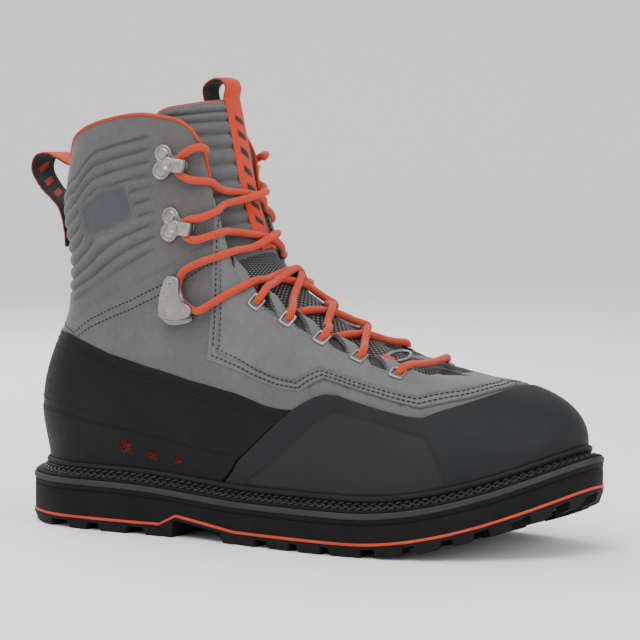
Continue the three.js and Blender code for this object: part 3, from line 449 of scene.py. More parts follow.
# Finishes
def group(name, inputs, outputs):
    tree = bpy.data.node_groups.new(name, "ShaderNodeTree")
    for label, kind, value in inputs:
        socket = tree.interface.new_socket(name=label, in_out="INPUT", socket_type=kind)
        if value is not None:
            socket.default_value = value
    for label, kind in outputs:
        tree.interface.new_socket(name=label, in_out="OUTPUT", socket_type=kind)
    return tree, tree.nodes.new("NodeGroupInput"), tree.nodes.new("NodeGroupOutput")


def add(tree, kind, **values):
    node = tree.nodes.new(kind)
    for key, value in values.items():
        setattr(node, key, value)
    return node


def arithmetic(tree, operation, a, b=None, c=None):
    node = add(tree, "ShaderNodeMath", operation=operation)
    for i, value in enumerate((a, b, c)):
        if value is None:
            continue
        if isinstance(value, (int, float)):
            node.inputs[i].default_value = value
        else:
            tree.links.new(value, node.inputs[i])
    return node.outputs[0]


def ranged(tree, value, low, high, to_low=0.0, to_high=1.0):
    node = add(tree, "ShaderNodeMapRange")
    tree.links.new(value, node.inputs["Value"])
    for key, number in zip(("From Min", "From Max", "To Min", "To Max"), (low, high, to_low, to_high)):
        node.inputs[key].default_value = number
    return node.outputs["Result"]


def cloudy_group():
    """Slow and quick patches over a surface, from 0 to 1"""
    tree, start, end = group(
        "cloudy",
        [("Vector", "NodeSocketVector", None), ("Scale", "NodeSocketFloat", 30.0)],
        [("Slow", "NodeSocketFloat"), ("Quick", "NodeSocketFloat")],
    )
    for label, times, detail in (("Slow", 1.0, 4.0), ("Quick", 14.0, 5.0)):
        noise = add(tree, "ShaderNodeTexNoise")
        noise.inputs["Detail"].default_value = detail
        noise.inputs["Roughness"].default_value = 0.62
        tree.links.new(start.outputs["Vector"], noise.inputs["Vector"])
        tree.links.new(arithmetic(tree, "MULTIPLY", start.outputs["Scale"], times), noise.inputs["Scale"])
        tree.links.new(ranged(tree, noise.outputs["Fac"], 0.28, 0.72), end.inputs[label])
    return tree


def grain_group():
    """Fine pebble and nap heights"""
    tree, start, end = group(
        "grain",
        [("Vector", "NodeSocketVector", None), ("Scale", "NodeSocketFloat", 900.0)],
        [("Height", "NodeSocketFloat"), ("Pits", "NodeSocketFloat")],
    )
    cells = add(tree, "ShaderNodeTexVoronoi")
    tree.links.new(start.outputs["Vector"], cells.inputs["Vector"])
    tree.links.new(start.outputs["Scale"], cells.inputs["Scale"])
    noise = add(tree, "ShaderNodeTexNoise")
    noise.inputs["Detail"].default_value = 6.0
    noise.inputs["Roughness"].default_value = 0.7
    tree.links.new(start.outputs["Vector"], noise.inputs["Vector"])
    tree.links.new(arithmetic(tree, "MULTIPLY", start.outputs["Scale"], 1.6), noise.inputs["Scale"])
    both = arithmetic(tree, "ADD", arithmetic(tree, "MULTIPLY", cells.outputs["Distance"], 0.6), noise.outputs["Fac"])
    tree.links.new(both, end.inputs["Height"])
    tree.links.new(ranged(tree, cells.outputs["Distance"], 0.1, 0.6), end.inputs["Pits"])
    return tree


def weave_group():
    """Over and under threads on UV, with the gaps between them"""
    tree, start, end = group(
        "weave",
        [("Vector", "NodeSocketVector", None), ("Across", "NodeSocketFloat", 10.0), ("Along", "NodeSocketFloat", 40.0)],
        [("Height", "NodeSocketFloat"), ("Gaps", "NodeSocketFloat")],
    )
    split = add(tree, "ShaderNodeSeparateXYZ")
    tree.links.new(start.outputs["Vector"], split.inputs[0])
    x = arithmetic(tree, "MULTIPLY", split.outputs["X"], start.outputs["Along"])
    y = arithmetic(tree, "MULTIPLY", split.outputs["Y"], start.outputs["Across"])
    wave_x = arithmetic(tree, "SINE", arithmetic(tree, "MULTIPLY", x, 2 * math.pi))
    wave_y = arithmetic(tree, "SINE", arithmetic(tree, "MULTIPLY", y, 2 * math.pi))
    over = arithmetic(tree, "MULTIPLY", wave_x, wave_y)
    tree.links.new(ranged(tree, over, -1, 1), end.inputs["Height"])
    edge = arithmetic(tree, "MINIMUM", arithmetic(tree, "ABSOLUTE", wave_x), arithmetic(tree, "ABSOLUTE", wave_y))
    tree.links.new(ranged(tree, edge, 0.0, 0.35), end.inputs["Gaps"])
    return tree


CLOUDY = cloudy_group()
GRAIN = grain_group()
WEAVE = weave_group()


class Finish:
    """A Principled material built up in steps"""

    def __init__(self, name, slot, roughness, metallic=0.0):
        self.material = bpy.data.materials.new(name)
        self.material.use_nodes = True
        self.material["slot"] = slot
        self.tree = self.material.node_tree
        self.shader = self.tree.nodes["Principled BSDF"]
        self.shader.inputs["Roughness"].default_value = roughness
        self.shader.inputs["Metallic"].default_value = metallic
        self.where = add(self.tree, "ShaderNodeTexCoord")
        self.color = None
        self.height = None

    def set(self, **values):
        for key, value in values.items():
            self.shader.inputs[key.replace("_", " ")].default_value = value
        return self

    def group(self, tree, source="Object", **values):
        node = add(self.tree, "ShaderNodeGroup", node_tree=tree)
        self.tree.links.new(self.where.outputs[source], node.inputs["Vector"])
        for key, value in values.items():
            node.inputs[key].default_value = value
        return node

    def mark(self, name):
        return add(self.tree, "ShaderNodeAttribute", attribute_name=name).outputs["Fac"]

    def blend(self, mask, under, over, share=1.0):
        """Colour over, laid on under where mask is 1"""
        node = add(self.tree, "ShaderNodeMix", data_type="RGBA")
        factor = arithmetic(self.tree, "MULTIPLY", mask, share)
        self.tree.links.new(factor, node.inputs["Factor"])
        for socket, value in ((node.inputs["A"], under), (node.inputs["B"], over)):
            if isinstance(value, tuple):
                socket.default_value = (*value, 1)
            else:
                self.tree.links.new(value, socket)
        self.color = node.outputs["Result"]
        self.tree.links.new(self.color, self.shader.inputs["Base Color"])
        return self.color

    def rough(self, mask, low, high):
        self.tree.links.new(ranged(self.tree, mask, 0, 1, low, high), self.shader.inputs["Roughness"])

    def raise_by(self, height, distance, strength=1.0):
        node = add(self.tree, "ShaderNodeBump")
        node.inputs["Distance"].default_value = distance
        node.inputs["Strength"].default_value = strength
        self.tree.links.new(height, node.inputs["Height"])
        if self.height is not None:
            self.tree.links.new(self.height, node.inputs["Normal"])
        self.height = node.outputs["Normal"]
        self.tree.links.new(self.height, self.shader.inputs["Normal"])


def nubuck(name, slot, light, dark):
    """Matt brushed leather: soft patches, nap, and painted shade that darkens its creases, seams and grooves"""
    f = Finish(name, slot, 0.9).set(Sheen_Weight=0.12, Sheen_Roughness=0.5, Specular_IOR_Level=0.25)
    patches = f.group(CLOUDY, Scale=22.0)
    grain = f.group(GRAIN, Scale=1500.0)
    f.blend(patches.outputs["Slow"], dark, light)
    speckle = tuple(c * 0.7 for c in dark)
    f.blend(patches.outputs["Quick"], f.color, speckle, 0.3)
    f.blend(grain.outputs["Height"], f.color, tuple(min(1, c * 1.25) for c in light), 0.16)
    # Painted shade: darkens the marked creases, seams, grooves and tucked edges where shade falls
    f.blend(f.mark("crease"), f.color, tuple(c * 0.38 for c in dark), 0.8)
    f.blend(f.mark("patch"), f.color, (0.043, 0.048, 0.056), 0.85)
    f.rough(patches.outputs["Quick"], 0.78, 0.98)
    f.raise_by(patches.outputs["Quick"], 0.0004, 0.35)
    f.raise_by(grain.outputs["Height"], 0.00012, 0.5)
    return f.material


def rubber(name, slot, light, dark, roughness, grain=1200.0, depth=0.00008, coarse=40.0):
    f = Finish(name, slot, roughness).set(Specular_IOR_Level=0.13)
    patches = f.group(CLOUDY, Scale=coarse)
    pebbles = f.group(GRAIN, Scale=grain)
    f.blend(patches.outputs["Slow"], dark, light)
    f.blend(patches.outputs["Quick"], f.color, tuple(c * 1.5 for c in light), 0.12)
    # Painted shade: darkens the marked grooves, valleys and tucked-in edges
    f.blend(f.mark("crease"), f.color, tuple(c * 0.35 for c in dark), 0.8)
    f.rough(patches.outputs["Quick"], roughness - 0.07, roughness + 0.1)
    f.raise_by(patches.outputs["Quick"], 0.00015, 0.3)
    f.raise_by(pebbles.outputs["Height"], depth, 0.6)
    return f


def fabric(name, slot, light, dark, across, along, depth=0.0002, gaps=0.75, roughness=0.85):
    """Woven cloth on the piece's own UV map"""
    f = Finish(name, slot, roughness).set(Sheen_Weight=0.1, Specular_IOR_Level=0.3)
    weave = f.group(WEAVE, "UV", Across=across, Along=along)
    patches = f.group(CLOUDY, Scale=60.0)
    f.blend(weave.outputs["Height"], dark, light)
    f.blend(arithmetic(f.tree, "SUBTRACT", 1.0, weave.outputs["Gaps"]), f.color, tuple(c * 0.3 for c in dark), gaps)
    f.blend(patches.outputs["Quick"], f.color, tuple(c * 0.7 for c in dark), 0.18)
    f.raise_by(weave.outputs["Height"], depth, 0.9)
    return f


def plain_thread(name, slot, color, roughness=0.7):
    f = Finish(name, slot, roughness).set(Specular_IOR_Level=0.3)
    patches = f.group(CLOUDY, Scale=400.0)
    f.blend(patches.outputs["Quick"], tuple(c * 0.6 for c in color), color)
    f.raise_by(patches.outputs["Quick"], 0.0002, 0.5)
    return f.material


def satin(name, slot, light, dark):
    """Cast and tumbled metal"""
    f = Finish(name, slot, 0.36, 1.0)
    patches = f.group(CLOUDY, Scale=140.0)
    grain = f.group(GRAIN, Scale=1400.0)
    f.blend(patches.outputs["Slow"], dark, light)
    # Painted shade: darkens the marked grooves round rivets, and painted shadow under the clip
    f.blend(f.mark("crease"), f.color, tuple(c * 0.3 for c in dark), 0.8)
    f.rough(patches.outputs["Quick"], 0.3, 0.5)
    f.raise_by(grain.outputs["Height"], 0.00006, 0.45)
    return f.material


def cast(name, slot, light, dark):
    """Cast metal with small dark pits"""
    f = Finish(name, slot, 0.42, 1.0)
    patches = f.group(CLOUDY, Scale=110.0)
    pits = add(f.tree, "ShaderNodeTexVoronoi")
    pits.inputs["Scale"].default_value = 420.0
    f.tree.links.new(f.where.outputs["Object"], pits.inputs["Vector"])
    hollow = ranged(f.tree, pits.outputs["Distance"], 0.28, 0.12)
    few = arithmetic(f.tree, "MULTIPLY", hollow, ranged(f.tree, patches.outputs["Slow"], 0.45, 0.6))
    f.blend(patches.outputs["Slow"], dark, light)
    f.blend(few, f.color, tuple(c * 0.3 for c in dark), 0.8)
    f.rough(patches.outputs["Quick"], 0.36, 0.56)
    f.raise_by(arithmetic(f.tree, "SUBTRACT", 1.0, few), 0.0005, 0.8)
    f.raise_by(patches.outputs["Quick"], 0.0002, 0.4)
    return f.material


def mesh_cloth(name, across, along):
    """Dark open mesh with light knots"""
    f = Finish(name, "tongue_cloth", 0.7).set(Specular_IOR_Level=0.3)
    weave = f.group(WEAVE, "UV", Across=across, Along=along)
    knots = arithmetic(f.tree, "POWER", weave.outputs["Height"], 3.5)
    f.blend(knots, (0.0045, 0.0045, 0.005), (0.19, 0.19, 0.195))
    f.raise_by(weave.outputs["Height"], 0.0004, 0.8)
    return f.material


SHAFT_LEATHER = nubuck("shaft_nubuck", "gray_leather", (0.1, 0.097, 0.0955), (0.064, 0.0625, 0.062))
PANEL_LEATHER = nubuck("panel_nubuck", "gray_leather", (0.102, 0.1005, 0.1005), (0.068, 0.067, 0.068))
VAMP_LEATHER = nubuck("vamp_nubuck", "gray_overlay", (0.13, 0.128, 0.128), (0.088, 0.0865, 0.088))
TONGUE_PAD = nubuck("tongue_nubuck", "tongue_cloth", (0.1, 0.099, 0.1), (0.066, 0.066, 0.067))


def vented_rubber():
    """Rand rubber with a red mesh in its vents"""
    f = Finish("rand_rubber", "rand_rubber", 0.62).set(Specular_IOR_Level=0.12)
    patches = f.group(CLOUDY, Scale=35.0)
    pebbles = f.group(GRAIN, Scale=1300.0)
    f.blend(patches.outputs["Slow"], (0.0042, 0.0046, 0.0051), (0.0068, 0.0072, 0.0078))
    f.blend(patches.outputs["Quick"], f.color, (0.016, 0.016, 0.0165), 0.2)
    # Painted shade: darkens the marked seam groove and stitch rows
    f.blend(f.mark("crease"), f.color, (0.0015, 0.0015, 0.0015), 0.8)
    ground = f.color
    knots = add(f.tree, "ShaderNodeTexVoronoi")
    knots.inputs["Scale"].default_value = 1500.0
    f.tree.links.new(f.where.outputs["Object"], knots.inputs["Vector"])
    holes = ranged(f.tree, knots.outputs["Distance"], 0.2, 0.55)
    net = f.blend(holes, (0.3, 0.008, 0.005), (0.012, 0.002, 0.002))
    f.blend(f.mark("vent"), ground, net)
    f.rough(patches.outputs["Quick"], 0.46, 0.66)
    f.raise_by(patches.outputs["Quick"], 0.00015, 0.3)
    f.raise_by(pebbles.outputs["Height"], 0.00007, 0.5)
    return f.material


RAND_RUBBER = vented_rubber()


def toe_finish():
    f = rubber("toe_rubber", "toe_rubber", (0.0165, 0.017, 0.018), (0.012, 0.0125, 0.0135), 0.6)
    f.blend(f.mark("field"), f.color, (0.021, 0.021, 0.0215), 0.6)
    return f.material


TOE_RUBBER = toe_finish()
SOLE_RUBBER = rubber("sole_rubber", "sole_rubber", (0.009, 0.009, 0.0095), (0.005, 0.005, 0.0055), 0.7, 700.0, 0.0003).material
MIDSOLE = rubber("midsole_rubber", "midsole_foam", (0.0065, 0.0065, 0.007), (0.0038, 0.0038, 0.004), 0.7, 620.0, 0.0004, 70.0).material
BAND = rubber("band_rubber", "welt_gray", (0.036, 0.036, 0.037), (0.022, 0.022, 0.023), 0.66, 900.0, 0.0002).material
WELT = rubber("welt_rubber", "welt_gray", (0.008, 0.008, 0.0085), (0.0035, 0.0035, 0.004), 0.75, 420.0, 0.0006, 90.0).material
STRIPE = rubber("stripe_rubber", "stripe_rubber", (0.44, 0.055, 0.028), (0.36, 0.042, 0.021), 0.6).material
LINING = fabric("lining_cloth", "gray_leather", (0.06, 0.06, 0.063), (0.03, 0.03, 0.032), 180.0, 420.0).material
MESH_CLOTH = mesh_cloth("tongue_mesh", 60.0, 78.0)
GUSSET_CLOTH = mesh_cloth("gusset_mesh", 34.0, 170.0)
INSOLE_CLOTH = fabric("insole_cloth", "insole_foam", (0.07, 0.07, 0.076), (0.035, 0.035, 0.04), 120.0, 300.0).material
PIPING = plain_thread("orange_piping", "orange_webbing", (0.55, 0.045, 0.008))
DARK_THREAD = plain_thread("dark_thread", "gray_leather", (0.008, 0.008, 0.009))
RAND_THREAD = plain_thread("rand_thread", "rand_rubber", (0.003, 0.003, 0.003), 0.7)
WELT_THREAD = plain_thread("welt_thread", "welt_gray", (0.012, 0.012, 0.0125), 0.45)
METAL = satin("satin_metal", "satin_metal", (0.34, 0.335, 0.32), (0.22, 0.215, 0.205))
CAST_METAL = cast("cast_metal", "satin_metal", (0.33, 0.325, 0.31), (0.22, 0.215, 0.205))
EYELET_METAL = satin("eyelet_metal", "satin_metal", (0.3, 0.3, 0.285), (0.2, 0.2, 0.19))


def webbing_finish():
    """Orange webbing, black on its inner face, with plain slanting dashes woven in where they are marked"""
    f = Finish("orange_webbing", "orange_webbing", 0.82).set(Sheen_Weight=0.1, Specular_IOR_Level=0.3)
    run, across = f.mark("run"), f.mark("across")
    place = add(f.tree, "ShaderNodeCombineXYZ")
    f.tree.links.new(run, place.inputs["X"])
    f.tree.links.new(across, place.inputs["Y"])
    weave = add(f.tree, "ShaderNodeGroup", node_tree=WEAVE)
    f.tree.links.new(place.outputs[0], weave.inputs["Vector"])
    weave.inputs["Along"].default_value = 0.55
    weave.inputs["Across"].default_value = 9.0
    patches = f.group(CLOUDY, Scale=60.0)
    orange = f.blend(weave.outputs["Height"], (0.36, 0.018, 0.003), (0.58, 0.037, 0.006))
    black = f.blend(weave.outputs["Height"], (0.003, 0.003, 0.0035), (0.01, 0.01, 0.011))
    beside = arithmetic(f.tree, "ABSOLUTE", arithmetic(f.tree, "SUBTRACT", across, 0.5))
    lean = arithmetic(f.tree, "ADD", arithmetic(f.tree, "MULTIPLY", run, 0.115), across)
    wave = arithmetic(f.tree, "SINE", arithmetic(f.tree, "MULTIPLY", lean, 2 * math.pi))
    inside = ranged(f.tree, beside, 0.23, 0.2)
    dash = arithmetic(f.tree, "MULTIPLY", ranged(f.tree, wave, 0.2, 0.4), inside)
    dash = arithmetic(f.tree, "MULTIPLY", dash, f.mark("dashes"))
    face_side = f.blend(f.mark("inside"), orange, black)
    other = f.blend(f.mark("inside"), black, orange)
    f.blend(dash, face_side, other)
    f.blend(patches.outputs["Quick"], f.color, (0.1, 0.02, 0.01), 0.08)
    f.raise_by(weave.outputs["Height"], 0.0003, 0.8)
    return f.material


WEBBING = webbing_finish()


def braid():
    """Round braided cord: two sets of threads that wind round it"""
    f = Finish("orange_braid", "orange_cord", 0.8).set(Sheen_Weight=0.15, Specular_IOR_Level=0.3)
    split = add(f.tree, "ShaderNodeSeparateXYZ")
    f.tree.links.new(f.where.outputs["UV"], split.inputs[0])
    turns = arithmetic(f.tree, "MULTIPLY", split.outputs["Y"], 11.0)
    run = arithmetic(f.tree, "MULTIPLY", f.mark("run"), 0.5)
    left = arithmetic(f.tree, "SINE", arithmetic(f.tree, "MULTIPLY", arithmetic(f.tree, "ADD", turns, run), 2 * math.pi))
    right = arithmetic(f.tree, "SINE", arithmetic(f.tree, "MULTIPLY", arithmetic(f.tree, "SUBTRACT", turns, run), 2 * math.pi))
    height = ranged(f.tree, arithmetic(f.tree, "MAXIMUM", left, right), -0.2, 1.0)
    patches = f.group(CLOUDY, Scale=90.0)
    f.blend(height, (0.36, 0.018, 0.0015), (0.64, 0.045, 0.0035))
    f.blend(patches.outputs["Quick"], f.color, (0.72, 0.08, 0.012), 0.18)
    f.raise_by(height, 0.0005, 0.8)
    return f.material


BRAID = braid()


# Upper
SHAFT_END = 0.305
RIB_PITCH = 6.35
RIB_TOP = 202.2
RIB_DEPTH = 1.15
SCALLOP_DIP = 0.3
SHOULDER = 0.308
SHOULDER_REACH = 0.023
SHOULDER_DIP = 0.26
THROAT_END = 0.4375
THROAT_END_DIP = 0.17
PATCH_CENTRE = (0.132, 0.662)
PATCH_HALF = (15.5, 8.0)
LINING_PAD = 3.2


def half_place(at):
    """Place on the outer half of the loop for any place"""
    table = np.linspace(0, TOE, 400)
    far = other_side(table)
    at = np.mod(at, 1.0)
    return np.where(at <= TOE, at, np.interp(at, far[::-1], table[::-1]))


def rib_drop(at, z):
    """How far a rib has come down from its front end, by place"""
    d = clamp((0.19 - at) / 0.19, 0, 1)
    high = np.interp(d, [0, 0.2, 0.38, 0.46, 0.55, 0.8, 1.0], [0, 4, 8, 13, 21, 31, 34])
    low = np.interp(d, [0, 0.15, 0.29, 0.45, 0.63, 1.0], [0, 7.6, 14.3, 22.5, 29, 33])
    return mix(low, high, smooth((z - 135) / 45))


def rib_relief(at, up, z):
    outer = half_place(at)
    line = (z + rib_drop(outer, z + 8) - RIB_TOP) / RIB_PITCH
    near = np.abs(line - np.round(line)) * RIB_PITCH
    groove = np.exp(-(near / 0.85) ** 2)
    puff = np.cos(math.pi * clamp(near / (RIB_PITCH / 2))) * -0.5 + 0.5
    zone = smooth((0.2 - outer) / 0.016) * smooth((0.35 - line) / 0.3) * smooth((line + 9.4) / 0.3)
    zone = zone * smooth((up - read(SHAFT_SEAM, outer) - 0.02) / 0.03)
    return zone, groove, puff


def patch_field(at, up):
    """Distance inside a plain slanting patch on each side of the shaft, in millimetres"""
    outer = half_place(at)
    across = (outer - PATCH_CENTRE[0]) * 430
    rise = (up - PATCH_CENTRE[1]) * 185
    turned = across + 0.35 * rise
    lifted = rise - 0.18 * across
    inside_x = PATCH_HALF[0] - np.abs(turned)
    inside_y = PATCH_HALF[1] * (1 - 0.25 * (turned / PATCH_HALF[0]) ** 2) - np.abs(lifted)
    return np.minimum(inside_x, inside_y)


def ease(t, firm):
    """Even steps moved towards both ends"""
    return 0.5 + 0.5 * np.tanh(firm * (2 * t - 1)) / math.tanh(firm)


def edge_run(points, columns, rows, order):
    """Distance of each grid point from the sheet's four edges, along the sheet"""
    grid = np.empty((rows + 1, columns + 1, 3))
    grid[order] = points
    step_u = np.linalg.norm(np.diff(grid, axis=1), axis=-1)
    step_v = np.linalg.norm(np.diff(grid, axis=0), axis=-1)
    run_u = np.concatenate([np.zeros((rows + 1, 1)), np.cumsum(step_u, 1)], 1)
    run_v = np.concatenate([np.zeros((1, columns + 1)), np.cumsum(step_v, 0)], 0)
    ends = (run_u, run_u[:, -1:] - run_u, run_v, run_v[-1:] - run_v)
    return [end[order] for end in ends]


def overlay(name, columns, rows, spot, thickness, material, base=0.0, round_over=1.1, relief=None,
            closed=False, replaces=(), firm=(1.0, 1.9), ends=True):
    """A panel on the upper's face with rounded edges; spot(u, v) gives (place, share up)"""
    def build(u, v):
        iu = np.round(u * columns).astype(int)
        iv = np.round(v * rows).astype(int)
        u2 = u if closed or not ends else ease(u, firm[0])
        at, up = spot(u2, ease(v, firm[1]))
        flat = face(at, up)
        left, right, low, high = edge_run(flat, columns, rows, (iv, iu))
        edge = np.minimum(low, high)
        if not closed and ends:
            edge = np.minimum(edge, np.minimum(left, right))
        roll = np.sqrt(np.maximum(0, 1 - (1 - clamp(edge / round_over)) ** 2))
        out = base + thickness * roll
        marks = {"crease": 0 * u}
        if relief:
            extra, marks = relief(at, up, flat, low, high, left, right)
            out = out + extra * clamp(edge / round_over)
        return off_face(at, up, out), marks
    return sheet(name, columns, rows, build, material, closed, replaces)


def round_heel(u, reach):
    """Outer place and loop place for a sheet that runs round the heel"""
    place = np.abs(2 * u - 1) * reach
    return place, np.where(u < 0.5, np.mod(other_side(place), 1.0), place)


def round_toe(u, start):
    """The same for a sheet that runs round the toe"""
    place = TOE - np.abs(2 * u - 1) * (TOE - start)
    return place, np.where(u > 0.5, np.mod(other_side(place), 1.0), place)


def across_to(u, moved, toe):
    """Loop place for an outer place that has been moved along"""
    inner = u > 0.5 if toe else u < 0.5
    return np.where(inner, np.mod(other_side(moved), 1.0), moved)


def throat_rim(at):
    """Share up of the throat's edge: dips between the eyelets and above the first"""
    outer = half_place(at)
    first, last = EYELETS[0][0], EYELETS[-1][0]
    pitch = (last - first) / (len(EYELETS) - 1)
    wave = smooth((np.sin(math.pi * (outer - first) / pitch) ** 2 - 0.2) / 0.45)
    wave = np.where((outer < first) | (outer > last), 0, wave)
    shoulder = SHOULDER_DIP * bump((outer - SHOULDER) / SHOULDER_REACH)
    toe_end = THROAT_END_DIP * bump((outer - THROAT_END) / 0.0195)
    return 1.0 - SCALLOP_DIP * wave - shoulder - toe_end


def upper_shell():
    """The upper itself: outer face, rolled rim and padded lining in one closed skin"""
    outer_rows, roll_rows, inner_rows = 56, 6, 34
    rows = outer_rows + roll_rows + inner_rows

    def spot(u, v):
        k = np.round(v * rows).astype(int)
        up = np.where(k <= outer_rows, k / outer_rows, 1 - (k - outer_rows - roll_rows) / inner_rows)
        share = clamp(up)
        up = share * throat_rim(u)
        turn = clamp((k - outer_rows) / roll_rows) * math.pi
        out = -WALL / 2 + WALL / 2 * np.cos(turn)
        inside = clamp((k - outer_rows - roll_rows) / inner_rows)
        shaft = smooth((up - 0.42) / 0.12) * smooth(inside / 0.1) * smooth((0.2 - half_place(u)) / 0.08)
        pillow = 0.5 + 0.5 * np.cos(2 * math.pi * (1 - up) * 5.0)
        out = out - shaft * LINING_PAD * (0.55 + 0.45 * pillow) * (inside > 0)
        points = off_face(u, up, out)
        e = 2e-3
        top = 0.995 * throat_rim(u)
        rise = unit(face(u, top) - face(u, top - e))
        points = points + rise * (WALL / 2 * np.sin(turn))[:, None]
        points[:, 2] -= 4.4 * (1 - smooth(share / 0.03))
        return points, {"crease": 0.0 * u, "inside": (k > outer_rows + roll_rows - 2) * 1.0}

    return sheet("upper_shell", 336, rows, spot, SHELL_LEATHER, closed=True, replaces=("upper",))


def gusset():
    """Mesh cloth inside the wall, seen only where the throat's edge is cut away"""
    def spot(u, v):
        place, at = round_toe(u, 0.285)
        up = mix(0.55, 0.975, v)
        return off_face(at, up, -1.5 + 0.5 * np.sin(np.pi * v)), {"crease": 0 * u}

    sheet("throat_net", 260, 36, spot, GUSSET_CLOTH)


def shell_finish():
    """Leather outside and lining cloth inside"""
    f = Finish("shell_leather", "gray_leather", 0.92).set(Specular_IOR_Level=0.25)
    patches = f.group(CLOUDY, Scale=22.0)
    grain = f.group(GRAIN, Scale=1500.0)
    weave = f.group(WEAVE, "UV", Across=420.0, Along=520.0)
    leather = f.blend(patches.outputs["Slow"], (0.083, 0.082, 0.083), (0.12, 0.118, 0.118))
    cloth = f.blend(weave.outputs["Height"], (0.03, 0.03, 0.032), (0.062, 0.062, 0.066))
    f.blend(f.mark("inside"), leather, cloth)
    f.raise_by(patches.outputs["Quick"], 0.0003, 0.3)
    f.raise_by(grain.outputs["Height"], 0.00012, 0.5)
    return f.material


SHELL_LEATHER = shell_finish()


def shaft_relief(at, up, flat, low, high, left, right):
    zone, groove, puff = rib_relief(at, up, flat[:, 2])
    inside = patch_field(at, up)
    patch = smooth(inside / 1.1)
    rim = np.exp(-((inside + 0.4) / 0.9) ** 2)
    beside = 1 - smooth((inside + 2.5) / 2.0)
    ribs = zone * beside
    soft = 0.5 * smooth(high / 12) * smooth(low / 6)
    # Painted shade mark: dark along the lower edge, in the rib grooves and round the patch rim
    crease = np.exp(-(low / 0.7) ** 2) * 0.9 + ribs * groove * 0.7 + rim * 0.3
    out = soft + ribs * (0.85 * puff - RIB_DEPTH * groove * 0.75) - 0.85 * patch + 0.25 * rim
    return out, {"crease": clamp(crease), "patch": patch}


def shaft_panel():
    """Padded collar with sewn ribs, from the quarter seam up to the rim"""
    def spot(u, v):
        place, at = round_heel(u, SHAFT_END)
        low = read(SHAFT_SEAM, place) - 0.012
        return at, mix(low, 0.992, v)
    return overlay("shaft_panel", 400, 118, spot, 0.55, SHAFT_LEATHER, relief=shaft_relief, firm=(0.5, 1.3))


def quarter_relief(at, up, flat, low, high, left, right):
    outer = half_place(at)
    # A pressed field under the ankle hook, with a soft bevel round it
    field = np.minimum(up - np.interp(outer, [0.1, 0.125, 0.18, 0.24], [0.46, 0.425, 0.405, 0.39]),
                       read(SHAFT_SEAM, outer) - 0.03 - up) * 170
    field = np.minimum(field, (0.262 - outer) * 430)
    pressed = smooth((field - 1.5) / 2.6) * smooth((outer - 0.105) / 0.02)
    # Painted shade mark: dark along the top edge, under the shaft panel
    crease = np.exp(-(high / 0.8) ** 2) * 0.7
    return 0.25 * smooth(high / 9) - 0.4 * pressed, {"crease": clamp(crease)}


def quarter_panel():
    """Smooth leather from the rands up to the shaft seam"""
    def spot(u, v):
        place, at = round_heel(u, SHAFT_END + 0.045)
        low = 0.3 + 0 * v
        high = read(SHAFT_SEAM, place)
        high = np.where(place > 0.3, mix(0.68, 0.72, (place - 0.3) / 0.05), high)
        return at, mix(low, high, v)
    return overlay("quarter_panel", 340, 60, spot, 0.95, PANEL_LEATHER, relief=quarter_relief, firm=(0.5, 1.5))


def vamp_edge(at):
    return throat_rim(at) - (1 - VAMP_EDGE) * 0.6


def vamp_spot(u, v):
    """Stitched-on vamp and eyestay, right round the throat"""
    start = VAMP_LOW[0, 0]
    place, _ = round_toe(u, start)
    first = EYELETS[0][0]
    shift = (VAMP_REAR_TOP - start) * v * clamp((first - place) / (first - start))
    moved = place + shift
    low = read(VAMP_LOW, place)
    return across_to(u, moved, True), mix(low, vamp_edge(moved), v)


def vamp_relief(at, up, flat, low, high, left, right):
    seam = np.minimum(np.minimum(low, left), right)
    double = np.exp(-((seam - 2.2) / 0.5) ** 2) + np.exp(-((seam - 5.2) / 0.5) ** 2)
    step = smooth((seam - 6.4) / 1.4)
    # Painted shade mark: dark in the stitch grooves, at the step and along the throat edge
    crease = 0.35 * double + 0.5 * np.exp(-((seam - 6.3) / 0.5) ** 2)
    edge = np.exp(-(high / 0.6) ** 2) * 0.5
    # Bend creases over the toes
    foot = foot_place(flat[:, 0])
    flex = np.zeros_like(foot)
    for centre, size in ((0.735, 0.5), (0.765, 0.35), (0.7, 0.3)):
        wander = 0.006 * np.sin(flat[:, 1] / 9.0 + centre * 40)
        flex -= size * np.exp(-((foot - centre - wander) / 0.006) ** 2) * smooth((0.85 - foot) / 0.1)
    return 0.3 * step - 0.35 * double * 0.6 + flex * 0.5, {"crease": clamp(crease + edge)}


def vamp():
    return overlay("vamp_panel", 520, 72, vamp_spot, 1.45, VAMP_LEATHER, base=0.2, round_over=0.9,
                   relief=vamp_relief, replaces=("vamp",), firm=(0.35, 1.6))


# Rands
def heel_rand_spot(u, v):
    start = HEEL_RAND_TOP[-1, 0]
    place, _ = round_heel(u, start)
    up = mix(RAND_FOOT, read(HEEL_RAND_TOP, place), v)
    end = read(RAND_JOIN, up) - 0.0006
    moved = place / start * np.minimum(end, start)
    return across_to(u, moved, False), up


